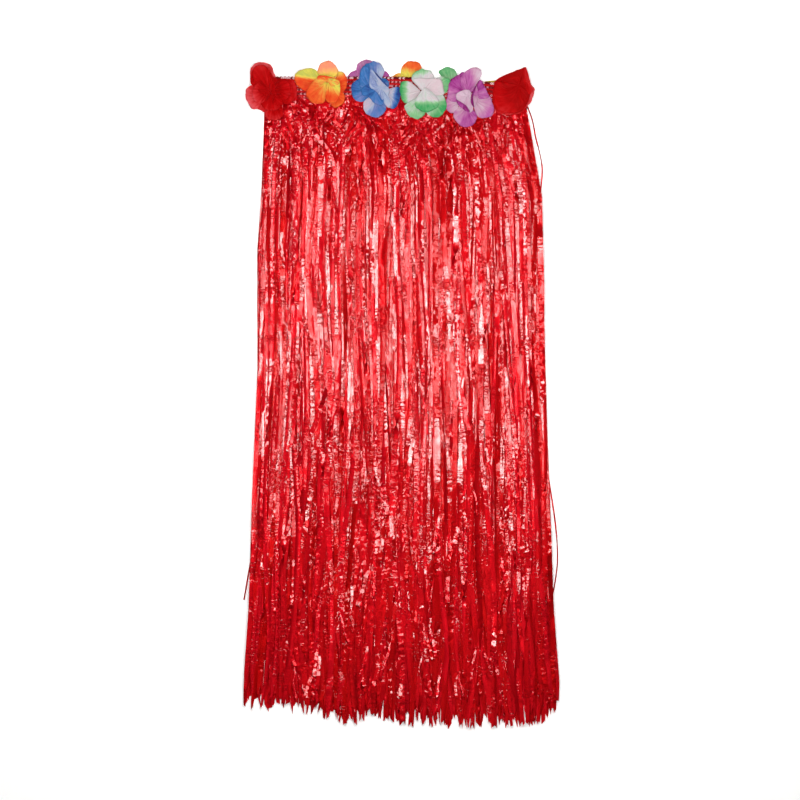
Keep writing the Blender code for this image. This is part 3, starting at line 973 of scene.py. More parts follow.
# Loose strips that bow out past the sides or lie aslant over the others
strays = {
    "rows": 60,
    "seed": 211,
    "length": 0.15,
    "tilt": 18.0,
    "crumple": 0.0002,
    # half their width, height, and places as (across, drop)
    "routes": (
        (0.0009, 0.0030, ((0.1560, 0.030), (0.1640, 0.052), (0.1684, 0.074), (0.1733, 0.093), (0.1764, 0.112),
                          (0.1752, 0.134), (0.1721, 0.158))),
        (0.0010, 0.0026, ((-0.1780, 0.555), (-0.1832, 0.588), (-0.1888, 0.620), (-0.1936, 0.648))),
        (0.0010, 0.0030, ((0.1810, 0.480), (0.1880, 0.520), (0.1935, 0.560), (0.1955, 0.595), (0.1930, 0.622),
                          (0.1880, 0.650))),
        (0.0030, 0.0150, ((-0.0900, 0.385), (-0.1060, 0.432), (-0.1300, 0.487))),
        (0.0022, 0.0150, ((-0.0335, 0.455), (-0.0375, 0.485), (-0.0450, 0.520))),
        (0.0024, 0.0140, ((-0.0810, 0.690), (-0.0770, 0.718), (-0.0715, 0.748))),
        (0.0020, 0.0140, ((-0.0180, 0.672), (-0.0215, 0.700), (-0.0310, 0.735))),
        (0.0026, 0.0150, ((0.0700, 0.400), (0.0640, 0.432), (0.0620, 0.470))),
    ),
}


def makeStrays(material):
    rng = np.random.default_rng(strays["seed"])
    rows = strays["rows"]
    points = np.zeros((len(strays["routes"]), rows, 3, 3))
    for number, (half, height, route) in enumerate(strays["routes"]):
        line = roundOff(route, rows)
        ahead = np.gradient(line, axis=0)
        ahead /= np.linalg.norm(ahead, axis=1)[:, None]
        tilt = np.radians(steppedNoise(rng, rows, rows * 0.15, strays["tilt"], 2.0))
        for col, side in enumerate((-1.0, 0.0, 1.0)):
            flat = side * half * np.cos(tilt)
            points[number, :, col, 0] = middleX + line[:, 0] + flat * ahead[:, 1]
            points[number, :, col, 1] = worldY(line[:, 1]) + flat * ahead[:, 0]
            crease = rng.normal(0, strays["crumple"], rows)
            points[number, :, col, 2] = height + side * half * np.sin(tilt) + crease
    lengths = np.linspace(0.0, strays["length"], rows)[None, :].repeat(len(points), axis=0)
    piece = stripMesh("fringeStrays", points, lengths, material)
    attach(piece, "root")
    return piece


# Flower cloth
cloth = {
    "weavePitch": 0.00045,
    "weaveBump": (0.25, 0.00006),  # strength and depth
    "veinBump": (0.35, 0.0006),
    "veinSharp": 12.0,
    "rough": 0.55,
    # noise over a petal: scale across its fan of veins, scale along, detail
    "noises": {"veins": (8.0, 1.6, 2.0), "Streaks": (11.0, 1.2, 3.0), "Mottle": (2.2, 3.0, 3.0)},
    "noiseSlip": 5.7,        # from petal to petal
    "dye": {"Streaks": 0.62, "Mottle": 0.66},  # how far each strays along the run of colours
    "rimFrom": 0.93,
    "rimDark": 0.5,
}


def makeWeaveGroup():
    # plain weave: two sets of threads a fixed pitch apart
    group, into, out = newGroup("clothWeave", {"Pitch": cloth["weavePitch"]}, ("Height",))
    place = addNode(group, "ShaderNodeTexCoord")
    parts = addNode(group, "ShaderNodeSeparateXYZ")
    feed(group, place.outputs["Object"], parts.inputs["Vector"])
    waves = []
    for axis in ("X", "Y"):
        threads = maths(group, "DIVIDE", parts.outputs[axis], into.outputs["Pitch"])
        waves.append(maths(group, "SINE", times(group, threads, 2 * math.pi)))
    feed(group, times(group, *waves), out.inputs["Height"])
    return group


def makeVeinGroup():
    # pressed veins that run out from a petal's root, and the dye's streaks and mottling
    group, into, out = newGroup(
        "petalVeins", {"Across": 0.0, "Along": 0.0, "Petal": 0.0}, ("Height", "Streaks", "Mottle")
    )
    across, along, number = (into.outputs[title] for title in ("Across", "Along", "Petal"))
    spread = times(group, minus(group, across, 0.5), 2.0)
    fan = maths(group, "DIVIDE", spread, plus(group, times(group, along, 0.5), 0.5))
    slip = times(group, number, cloth["noiseSlip"])

    def noise(title):
        fanScale, alongScale, detail = cloth["noises"][title]
        place = combine(group, times(group, fan, fanScale), times(group, along, alongScale), slip)
        return noiseAt(group, place, detail)

    feed(group, crossing(group, noise("veins"), cloth["veinSharp"]), out.inputs["Height"])
    for title in cloth["dye"]:
        feed(group, noise(title), out.inputs[title])
    return group


def makeSilk(name, look, veins, weave):
    # "shade" carries the place on the silk's run of colours and the nearness to the rim
    def dyed(colour, share=1.0):
        return tuple(look["gain"] * share * part for part in paint(*colour)[:3]) + (1.0,)

    material, tree, shader = newMaterial(name)
    u, v = mapPlaces(tree, "petal")
    run, nearRim = mapPlaces(tree, "shade")
    vein = addNode(tree, "ShaderNodeGroup", node_tree=veins)
    feed(tree, maths(tree, "FRACT", u), vein.inputs["Across"])
    feed(tree, v, vein.inputs["Along"])
    feed(tree, maths(tree, "FLOOR", u), vein.inputs["Petal"])
    for title, reach in cloth["dye"].items():
        run = plus(tree, run, times(tree, minus(tree, vein.outputs[title], 0.5), reach))
    ramp = addNode(tree, "ShaderNodeValToRGB")
    setRamp(ramp.color_ramp, [(at, dyed(colour)) for at, colour in look["stops"]])
    feed(tree, run, ramp.inputs["Fac"])
    rim = mapRange(tree, nearRim, (cloth["rimFrom"], 1.0), (0.0, look["rim"]))
    last = dyed(look["stops"][-1][1], cloth["rimDark"])
    feed(tree, blendColour(tree, rim, ramp.outputs["Color"], last), shader.inputs["Base Color"])
    weft = addNode(tree, "ShaderNodeGroup", node_tree=weave)
    veined = addBump(tree, vein.outputs["Height"], *cloth["veinBump"])
    woven = addBump(tree, weft.outputs["Height"], *cloth["weaveBump"], below=veined)
    feed(tree, woven, shader.inputs["Normal"])
    setInputs(shader, {
        "Roughness": cloth["rough"], "Specular IOR Level": look["gloss"], "Sheen Weight": look["gloss"] / 2,
    })
    return material


# Flowers
petal = {
    "seed": 400,
    "rays": 46,
    "rings": 12,
    "ringSpread": 0.85,      # below 1 the rings lie closer together towards the rim
    "lateRise": 1.3,         # how late on its way out a petal rises
    "pleat": 0.00045,        # height of the gathers that run out from the root
    "gathers": ((3, 0.6), (5, 0.8), (8, 0.6), (11, 0.4)),  # half waves across a petal, and their share
    "gatherFade": 0.6,
    "ruffle": 0.0007,
    "ragged": 0.010,
    "lump": 0.0003,
    "wall": 0.00025,
    "frontFloor": 0.0083,
    "backFloor": 0.0003,
    "roundFrom": 5.0,        # an outline that turns further than this about its root is closed
    "sheetUnit": 30.0,       # millimetres from the root to one unit of the veins' length
    "pressed": 0.75,         # share of the square of cloth that a flower's petals use
}


def oval(rootX, rootY, tipX, tipY, half):
    # a plain rounded petal's outline
    root, tip = np.array([rootX, rootY]), np.array([tipX, tipY])
    length = np.linalg.norm(tip - root)
    ahead = (tip - root) / length
    aside = np.array([-ahead[1], ahead[0]])
    centre = max(length - half, 0.45 * length)
    turns = np.radians([-115, -90, -65, -40, -15, 15, 40, 65, 90, 115])
    curve = [
        root + ahead * (centre + (length - centre) * math.cos(turn)) - aside * half * math.sin(turn)
        for turn in turns
    ]
    near = [root + ahead * 0.12 * length - aside * side * half * 0.5 for side in (-1, 1)]
    return tuple(tuple(point) for point in [near[0], *curve, near[1]])


def plain(tipX, tipY, half, rootZ, tipZ, last=0.9):
    # a rounded petal from the flower's middle, paler at its root
    return (0, 0), (rootZ, tipZ, 0.0), ((0, 0, 0.2), (tipX, tipY, last)), oval(0, 0, tipX, tipY, half)


# A petal is (root), (height at the root, at the tip, cup), (two places with their share of the
# silk's run of colours), (outline), all in millimetres from the flower's middle, +Y to the waist
flowers = {
    "redLeft": {
        "node": "flower_front_red_left", "slot": "petal_red", "silk": "silkRed", "pleat": 0.0010,
        "across": -0.1585, "drop": 0.0160,
        "outer": (
            ((-2, 0), (0.8, 6.5, 0.8), ((-8, 16, 0.80), (-11, 34, 0.05)),
             ((-10, -2), (-22, 3), (-26, 8), (-27, 14), (-26.5, 24), (-25, 28), (-22, 31), (-16, 33.5),
              (-10, 33.8), (-5, 32), (-1, 30), (1.5, 26), (2, 22), (4, 17), (6, 13), (4, 3))),
            ((-3, -5), (0.4, 4.2, 0.6), ((-12, -6, 0.70), (-31, -14, 0.05)),
             ((-10, 3), (-22, 6), (-27, 5), (-31.5, 1), (-32.5, -4), (-33, -9), (-30, -15), (-28, -20),
              (-24, -24), (-19, -24), (-14, -25.5), (-8, -28), (-4, -22), (0, -12))),
            ((1, -7), (0.9, 6.0, 0.6), ((4, -20, 0.82), (-8, -34, 0.35)),
             ((-5, -10), (-7, -18), (-8, -25), (-8, -32), (-5, -36), (2, -38), (9, -37), (14, -32), (14, -25),
              (11, -16), (7, -9))),
            ((2, 0), (1.0, 4.6, 0.6), ((10, 0, 0.85), (34, -2, 0.55)),
             ((3, 8), (7, 13.5), (12, 13.8), (20, 13.6), (26, 12), (30, 7), (31.5, 0), (31, -7), (28, -13),
              (22, -17), (14, -17), (7, -12), (3, -6))),
        ),
        "inner": (
            ((-1, -3), (2.8, 5.6, 0.8), ((0, -8, 0.88), (2, -26, 0.66)),
             ((-7, -2), (-13, -8), (-14, -15), (-11, -22), (-5, -25.5), (3, -26), (10, -22), (13, -15),
              (11, -7), (5, -1))),
            ((0, -1), (3.0, 6.0, 0.8), ((8, 0, 0.92), (24, 2, 0.66)),
             ((2, 6), (8, 10.5), (15, 11.5), (21, 9), (24, 3), (23, -5), (19, -11), (12, -14), (6, -9))),
            ((-2, -2), (3.2, 6.0, 0.8), ((-8, -3, 0.82), (-24, -9, 0.22)),
             ((-6, 6), (-14, 8), (-20, 5), (-24, -1), (-24, -9), (-20, -15), (-13, -17), (-7, -12))),
            ((-2, -3), (3.4, 8.0, 0.8), ((-6, 8, 0.84), (-12, 26, 0.70)),
             ((-9, -8), (-15, -3), (-20, 4), (-23, 12), (-24, 20), (-22.5, 26), (-18, 29.6), (-11, 30),
              (-6, 27), (-3, 22), (0, 15), (3, 8), (4, 0), (3, -7))),
            ((-8, 31), (8.2, 8.6, 0.0), ((-12, 30, 0.20), (-8, 34, 0.05)),
             ((-21, 30.6), (-15, 33), (-9.5, 33.2), (-5, 31.4), (-1.6, 28.6), (-5, 28.4), (-11, 31),
              (-17, 31))),
            ((0, 22.5), (8.2, 8.6, 0.0), ((-2, 22, 0.25), (3, 24, 0.05)),
             ((-4.4, 30.4), (-0.8, 28.8), (1.4, 25), (2.4, 20.8), (5, 15.6), (3.2, 14.6), (0, 18.6),
              (-2.4, 24.4))),
        ),
    },
    "orange": {
        "node": "flower_front_orange", "slot": "petal_orange", "silk": "silkOrange",
        "across": -0.0891, "drop": 0.0135,
        "outer": (
            ((-6, 4), (0.5, 4.0, 0.5), ((-26, 8, 0.96), (-25, 16, 0.04)),
             ((-8, 12), (-12, 17), (-15, 22), (-20, 24), (-27, 24), (-33, 22), (-37, 20), (-41, 16.5),
              (-41.5, 11), (-39, 4), (-34, -1), (-28, -4), (-20, -5), (-12, -3))),
            ((6, 2), (0.6, 4.2, 0.5), ((17, 8, 0.96), (11, 20, 0.30)),
             ((8, 9), (12, 16), (13, 20), (16, 20), (20, 17.5), (23, 13), (24, 8), (23, 2), (21, -3),
              (16, -7), (9, -4))),
            ((5, -3), (1.0, 5.4, 0.6), ((8, -10, 0.95), (17, -22, 0.72)),
             ((11, 3), (16, 3), (19, -6), (21, -12), (20, -18), (16, -22), (10, -25), (7, -24), (3, -21),
              (0, -14), (1, -7))),
            ((-1, 4), (0.9, 3.6, 0.5), ((-1, 10, 0.80), (-1, 16, 0.15)), oval(-1, 3, -1, 16, 12)),
        ),
        "inner": (
            ((-1, 8), (5.6, 6.4, 1.0), ((0, 8, 0.55), (0, 13.5, 0.88)),
             ((-9, 3), (-13, 9), (-13, 13.5), (-8, 14.8), (0, 14), (6, 12), (11, 9.5), (14.5, 6.5), (12, 3),
              (4, 1))),
            ((-2, 6), (4.2, 8.0, 1.2), ((2, 8, 0.14), (-15, -7, 0.86)),
             ((-4, 12), (-11, 12.5), (-16, 10), (-22, 3), (-26, -4), (-27, -8), (-25, -13), (-21, -18),
              (-15, -20.5), (-8, -20), (-4, -17.5), (-3, -13), (-2.5, -5), (1, 3))),
            ((2, 7), (5.0, 9.2, 1.2), ((1, -14, 0.92), (10, 4, 0.14)),
             ((1, 11), (8, 10.5), (13, 8), (15, 4), (15.2, -3), (14.5, -10), (12, -16), (8, -20), (3, -20),
              (-1, -17.5), (-3, -13), (-2.5, -7), (-2, 0), (-1, 6))),
        ),
    },
    "blue": {
        "node": "flower_front_blue", "slot": "petal_blue", "silk": "silkBlue",
        "across": -0.0272, "drop": 0.0160,
        "outer": (
            ((-3, 6), (0.8, 6.6, 0.8), ((-10, 30, 0.72), (7, 22, 0.22)),
             ((-12, 14), (-17, 22), (-17.5, 28), (-15, 31.5), (-10, 33), (-6, 35), (-2, 33.6), (1, 33.5),
              (4, 30.5), (7, 26), (8, 22), (6, 17), (4, 10))),
            ((-6, 0), (0.5, 4.4, 0.8), ((-30, 2, 0.84), (-20, -12, 0.62)),
             ((-10, 10), (-18, 14), (-25, 12.5), (-32, 7.5), (-33, 0), (-32, -6.5), (-28, -13), (-22, -15),
              (-16, -13.5), (-9, -9))),
            ((-2, -8), (1.0, 6.6, 0.9), ((-13, -18, 0.05), (1, -28, 0.58)),
             ((-11, -9), (-17, -14), (-18.5, -20), (-17, -26), (-13, -31), (-7, -34), (-2, -34.6), (4, -32.5),
              (8, -28.5), (10, -23), (9.5, -17), (4, -10))),
            ((10, -4), (0.8, 4.8, 0.7), ((15, -10, 0.08), (24, -12, 0.95)),
             ((13, 0), (16, 2), (21, 3.2), (26, 3), (28.3, -2), (27.5, -9), (26, -15), (23, -21), (19, -23.5),
              (15, -22.5), (12, -16), (9, -9))),
            ((2, 3), (0.5, 2.6, 0.4), ((2, 3, 0.5), (12, 12, 0.8)), oval(2, 3, 12, 12, 7)),
        ),
        "inner": (
            ((-7, -4), (3.6, 8.2, 1.0), ((-5, 4, 0.60), (-18, 12, 0.78)),
             ((-4, 8), (-9, 22), (-13, 28), (-17.5, 28.5), (-21, 25.5), (-22.5, 19), (-23.5, 12), (-23, 5),
              (-21, -1), (-19, -7), (-12, -9))),
            ((-1, 0), (4.6, 7.6, 1.0), ((-2, -6, 0.70), (-12, -6, 0.84)),
             ((0, 4), (-10, 7), (-17, 4), (-21, -2), (-19, -7.5), (-13, -8.5), (-9, -12), (-5, -17),
              (0, -19.5), (6, -19.5), (7, -14), (5, -6))),
            ((2, 4), (6.6, 9.2, -0.8), ((-6, 4, 0.40), (6, 8, 0.20)),
             ((-10, 19), (-9, 25.5), (-4, 20.5), (2, 14.5), (8, 7.5), (13.5, 2), (14, -3), (13, -8),
              (15, -14), (16.5, -20), (14, -23.5), (10, -20.5), (6, -15), (2, -8), (-4, -1), (-9, 1.5),
              (-10.5, 6), (-10.5, 12))),
            ((5, 9), (9.5, 9.9, 0.0), ((-2, 17, 0.98), (12, 2, 0.86)),
             ((-6, 22.6), (-1, 18.2), (5, 12), (11.5, 4.6), (13.2, 1.6), (8, 6.6), (2, 13.4), (-4, 19.6))),
        ),
    },
    "green": {
        "node": "flower_front_green", "slot": "petal_green", "silk": "silkGreen",
        "across": 0.0285, "drop": 0.0185,
        "outer": (
            ((-3, 1), (0.8, 4.8, 0.7), ((-14, 0, 0.10), (-28, 0, 1.05)),
             ((-7, 5), (-12, 9.5), (-17, 12.5), (-22, 13.2), (-27, 11), (-28.7, 6), (-28.3, -2), (-26, -10),
              (-22, -14.5), (-17, -13), (-9, -8))),
            ((0, 4), (0.6, 5.2, 0.7), ((0, 16, 0.22), (-4, 29, 0.80)),
             ((-8, 8), (-13.5, 14), (-14, 18), (-12, 22), (-9, 25), (-5, 27), (-1, 28.5), (3, 26.6), (9, 26),
              (11, 23), (13.5, 19), (14.5, 13), (9, 7))),
            ((8, 5), (0.5, 3.8, 0.6), ((17, 12, 0.30), (33, 10, 0.82)),
             ((12, 13), (16, 17), (20, 18.5), (24, 19.2), (29, 17.5), (33, 15), (34, 9), (31, 3), (27, -2),
              (18, -3))),
            ((-3, -6), (1.2, 6.2, 0.8), ((-14, -12, 0.34), (-8, -30, 0.64)),
             ((-9, -7), (-15, -11), (-20, -14.5), (-23, -18), (-21.5, -24), (-18, -29), (-12, -33), (-6, -34),
              (-1, -31.5), (2.5, -27), (4, -18), (1, -9))),
            ((5, -5), (0.9, 5.4, 0.8), ((14, -8, 0.20), (27, -20, 0.92)),
             ((10, -1), (18, -2), (25, -4.5), (28.5, -12), (28.7, -20), (26, -26), (21, -30.5), (15, -32),
              (10, -31), (5, -27), (2, -18), (2, -10))),
        ),
        "inner": (
            ((0, 1), (3.4, 6.4, 0.6), ((-8, 10, 0.14), (14, 8, 0.02)),
             ((-4, 3), (-7, 7), (-12, 12.5), (-12.5, 15.5), (-4, 16.8), (6, 16.2), (14, 16.2), (21.5, 15.6),
              (24, 10), (25.5, 3), (26, -3.5), (17, -5), (8, -6))),
            ((1.5, 4.8), (6.2, 9.4, 0.9), ((4, -8.5, 0.22), (4, -18, 0.90)),
             ((-1, 2), (-5, -3.5), (-8.5, -9), (-10.5, -15), (-8, -21), (-2, -25), (4, -26), (12, -24),
              (18, -20), (20, -13), (17, -7.5), (10.5, -0.5), (5, 3.5))),
        ),
    },
    "purple": {
        "node": "flower_front_purple", "slot": "petal_purple", "silk": "silkPurple",
        "across": 0.0867, "drop": 0.0235,
        "outer": (
            ((-8, -4), (0.5, 4.2, 0.6), ((-18, -12, 0.12), (-29, -14, 0.50)),
             ((-16, 2), (-24, 1), (-29, -4), (-29.5, -12), (-28.5, -18), (-24, -21.3), (-19, -20.5),
              (-13, -17), (-9, -11))),
            ((-3, 3), (0.9, 5.4, 1.0), ((-16, 12, 0.86), (-25, 2, 0.60)),
             ((-4, 16), (-7, 28), (-10.5, 28.8), (-14, 25.6), (-18, 24), (-22, 21), (-26, 15), (-27, 8),
              (-28, 2), (-27.5, -4), (-20, -8), (-10, -5))),
            ((-4, 2), (1.6, 7.2, 0.9), ((-6, 24, 0.62), (10, 30, 0.12)),
             ((-11, 12), (-11.5, 22), (-7, 28.6), (-3, 31.3), (1, 34), (5, 34.8), (10, 33.6), (13.5, 31),
              (14.5, 27), (12.5, 22), (9.5, 17), (6, 11), (2, 4))),
            ((4, -4), (0.8, 5.2, 0.8), ((13, -9, 0.22), (28, -17, 0.62)),
             ((8, 1), (15, 1), (24, -0.5), (27, -7), (29, -14), (29.5, -20), (27, -24.5), (22, -27),
              (15, -27.7), (10, -26), (7, -21), (4, -12))),
            ((5, 2), (1.6, 5.8, 0.8), ((11, 12, 0.85), (18, 2, 0.66)),
             ((6, 9), (8.5, 14), (12, 19.6), (15, 17.5), (18, 11), (21, 5), (23.5, -1), (20, -4), (12, -4))),
            ((-3, -12), (1.0, 7.0, 0.8), ((-14, -22, 0.30), (-4, -30, 0.74)),
             ((-10, -13), (-17, -17), (-20, -21), (-20.3, -27), (-17, -32.5), (-12, -37), (-6, -39.4),
              (0, -38.3), (5, -34.5), (8, -29), (8.3, -24), (4, -17))),
        ),
        "inner": (
            ((3, 2), (3.8, 7.2, 0.6), ((6, 4, 0.55), (7, -8, 0.20)),
             ((4, 10), (7.5, 12), (9.5, 6), (10, 0), (9, -6), (7, -11), (4.5, -14.5), (1.5, -10), (1, -4))),
            ((-3, 0), (4.6, 8.2, 1.0), ((-6, -2, 0.05), (2, -16, 0.22)),
             ((-1, 6.6), (-6, 7), (-12, 5.2), (-17, 2), (-18, -2), (-16, -6), (-12, -9), (-6, -14), (-1, -21),
              (3, -19.5), (3.5, -14), (1.2, -9), (0.6, -3), (1.4, 3))),
            ((3, 0), (8.2, 9.0, 0.2), ((5, 8, 0.92), (2, -10, 1.0)),
             ((5.4, 9.5), (7.4, 11.5), (5.4, 4), (3.2, -3), (2.6, -8.6), (4.6, -12.4), (4, -14.6),
              (0.8, -9.4), (1.2, -3), (3, 4))),
            ((-9, -11), (8.4, 9.2, 0.5), ((-15, -8, 0.80), (-4, -18, 0.92)),
             ((-17.5, -5.5), (-12, -8), (-5, -13), (-0.5, -20), (-4, -20.6), (-9, -17), (-15, -12))),
        ),
    },
    "redRight": {
        "node": "flower_front_red_right", "slot": "petal_red", "silk": "silkRed",
        "across": 0.1411, "drop": 0.0185,
        "outer": (
            ((4, 2), (0.6, 4.4, -0.6), ((15, 0, 0.70), (26, 2, 0.25)),
             ((9, 9), (16, 11), (20.5, 9.5), (26, 3), (25, 0.8), (23.5, -4), (15, -8), (8, -5))),
            ((2, -2), (0.9, 5.0, 0.5), ((12, -10, 0.70), (22, -12, 0.10)),
             ((8, 0), (16, 1), (23.5, -2), (23, -8), (21.5, -12), (18, -16.5), (15, -20), (9, -22),
              (3, -14))),
            ((0, 0), (1.2, 5.0, -0.5), ((-6, -14, 0.80), (-8, -30, 0.45)),
             ((-10, -4), (-20, -9), (-26, -12), (-25, -18), (-22, -24), (-16, -28), (-8, -28.8), (-1, -28.6),
              (6, -27), (12, -24), (14.5, -20), (9, -8))),
            ((0, 0), (1.6, 4.4, -0.5), ((-8, 4, 0.85), (-26, 0, 0.70)),
             ((-4, 10), (-12, 16), (-20, 15.5), (-24, 12), (-25.5, 5), (-26.5, -4), (-26, -12), (-18, -14),
              (-8, -10))),
            ((3, 3), (1.0, 5.6, -0.8), ((8, 16, 0.80), (17, 22, 0.40)),
             ((-2, 12), (0, 24.5), (8, 28), (14, 30.2), (16, 27), (18, 20), (20, 12), (18, 6), (10, 2))),
        ),
        "inner": (
            ((6, 8), (6.4, 7.4, -1.0), ((2, -2, 0.98), (-20, -16, 0.66)),
             ((-22, 14.2), (-15, 19), (-8, 22), (0, 24.8), (8, 28), (13.6, 30), (12.5, 22), (14, 12),
              (17.5, 4), (19.5, -4), (17, -12), (14, -19), (10, -24), (2, -26.6), (-8, -27), (-16, -26),
              (-22, -22), (-24.6, -16), (-25.4, -8), (-25, 0), (-24.4, 9))),
            ((15, 12), (6.9, 7.3, -0.6), ((11, 12, 0.80), (18, 14, 0.52)),
             ((13.8, 30.2), (16, 26.5), (18, 19.5), (20, 11.5), (21, 8), (22.5, 3), (21, -3), (17.5, -3),
              (14, 5), (11.5, 12), (11, 21))),
        ),
    },
    "backSalmon": {
        "node": "flower_back_salmon", "slot": "petal_salmon", "silk": "silkSalmon",
        "across": -0.0900, "drop": 0.0130,
        "whole": (
            ((0, 2), (0.4, 2.4, 0.5), ((1, 17, 0.10), (0, 27, 0.85)),
             ((-8, 4), (-13, 11), (-13.5, 17), (-11.5, 25), (-9, 30), (-4, 33.5), (0, 34.4), (5, 33), (9, 30),
              (12, 25), (14.6, 19), (14, 11), (8, 4))),
            plain(-24, 7, 10, 0.2, 0.6),
            plain(-12, -18, 9, 0.3, 0.5),
            plain(12, -18, 9, 0.2, 0.4),
            plain(23, 8, 9.5, 0.3, 0.7),
        ),
    },
    "backPurple": {
        "node": "flower_back_purple", "slot": "petal_purple", "silk": "silkPurple",
        "across": -0.0400, "drop": 0.0130,
        "whole": (
            ((0, 2), (0.4, 2.6, 0.5), ((3, 22, 0.66), (-8, 32, 0.50)),
             ((-8, 5), (-14, 12), (-14.5, 22), (-13, 29), (-8, 34), (-2, 35.6), (4, 34.6), (9, 31), (12, 24),
              (12, 14), (7, 6))),
            ((0, 0), (0.2, 1.2, 0.0), ((-18, 12, 0.50), (-20, 20, 0.66)), oval(0, 2, -23.5, 17.5, 11)),
            plain(-14, -17, 9, 0.3, 0.5, last=0.8),
            plain(13, -18, 9, 0.2, 0.4, last=0.8),
            ((0, 0), (0.3, 1.2, 0.0), ((18, 10, 0.60), (24, 18, 0.72)), oval(0, 2, 27, 16.5, 10)),
        ),
    },
    "backOrange": {
        "node": "flower_back_orange", "slot": "petal_orange", "silk": "silkOrange",
        "across": 0.0135, "drop": 0.0130,
        "whole": (
            ((0, 2), (0.4, 2.6, 0.5), ((-2, 17, 0.22), (1, 27, 0.82)),
             ((-8, 5), (-12.5, 11), (-13, 17), (-12, 24), (-9, 29.5), (-4, 33), (2, 34), (8, 32.5),
              (12, 29.5), (13.8, 24), (13, 14), (8, 6))),
            ((0, 0), (0.2, 1.0, 0.0), ((-14, 8, 0.40), (-22, 14, 0.55)), oval(0, 0, -23, 14.5, 9.5)),
            plain(-13, -17, 9, 0.3, 0.5),
            plain(12, -18, 9, 0.2, 0.4),
            plain(22, 8, 9, 0.3, 0.7),
        ),
    },
    "backGreen": {
        "node": "flower_back_green", "slot": "petal_green", "silk": "silkGreen",
        "across": 0.0640, "drop": 0.0140,
        "whole": (
            ((1, 2), (0.4, 2.4, 0.4), ((0, 12, 0.62), (-5, 24, 0.86)),
             ((-5, 5), (-10, 12), (-14, 18), (-16.2, 21.5), (-13, 24.5), (-9, 26.6), (-4, 27.4), (1, 26),
              (5, 22.5), (7.4, 17), (8, 10), (5, 4))),
            plain(-21, 8, 9, 0.2, 0.8),
            plain(-13, -17, 9, 0.3, 0.5),
            plain(11, -18, 9, 0.2, 0.4),
            plain(20, 7, 9, 0.3, 0.7),
        ),
    },
    "backYellow": {
        "node": "flower_back_yellow", "slot": "petal_yellow", "silk": "silkYellow",
        "across": 0.1130, "drop": 0.0215,
        "whole": (
            ((0, 1), (0.4, 1.6, 0.3), ((0, 6, 0.4), (0, 17, 0.95)),
             ((-6, 3), (-10, 8), (-11, 13.5), (-8, 17), (-2, 18), (5, 18.4), (10, 17.4), (12, 12), (8, 4))),
            plain(-21, 5, 9, 0.2, 0.6),
            plain(-12, -18, 9, 0.3, 0.5),
            plain(11, -18, 9, 0.2, 0.4),
            plain(20, 6, 9, 0.3, 0.6),
        ),
    },
}

# Runs of colour, each stop a share from 0 to 1 and the colour as the eye reads it. gain darkens the run,
# rim is how dark its last colour makes the petal's rim
silks = {
    "silkRed": {
        "gain": 0.80, "gloss": 0.04, "rim": 0.06,
        "stops": ((0.0, (238, 100, 106)), (0.35, (220, 46, 50)), (0.70, (200, 4, 8)), (1.0, (170, 0, 2))),
    },
    "silkOrange": {
        "gain": 0.82, "gloss": 0.08, "rim": 0.25,
        "stops": ((0.0, (206, 206, 92)), (0.22, (246, 228, 92)), (0.5, (250, 180, 80)),
                  (0.75, (251, 112, 48)), (1.0, (242, 66, 26))),
    },
    "silkSalmon": {
        "gain": 0.95, "gloss": 0.10, "rim": 0.25,
        "stops": ((0.0, (252, 226, 92)), (0.35, (251, 186, 106)), (1.0, (248, 136, 116))),
    },
    "silkBlue": {
        "gain": 0.80, "gloss": 0.12, "rim": 0.25,
        "stops": ((0.0, (216, 196, 214)), (0.25, (180, 194, 220)), (0.50, (122, 138, 200)),
                  (0.75, (62, 124, 194)), (1.0, (38, 60, 138))),
    },
    "silkGreen": {
        "gain": 0.82, "gloss": 0.12, "rim": 0.25,
        "stops": ((0.0, (226, 202, 210)), (0.25, (220, 218, 220)), (0.60, (152, 206, 152)),
                  (1.0, (66, 170, 98))),
    },
    "silkPurple": {
        "gain": 0.80, "gloss": 0.12, "rim": 0.25,
        "stops": ((0.0, (224, 196, 214)), (0.3, (216, 162, 192)), (0.6, (200, 108, 176)),
                  (0.85, (176, 66, 152)), (1.0, (140, 28, 110))),
    },
    "silkYellow": {
        "gain": 0.80, "gloss": 0.10, "rim": 0.25,
        "stops": ((0.0, (252, 234, 130)), (1.0, (208, 190, 66))),
    },
}


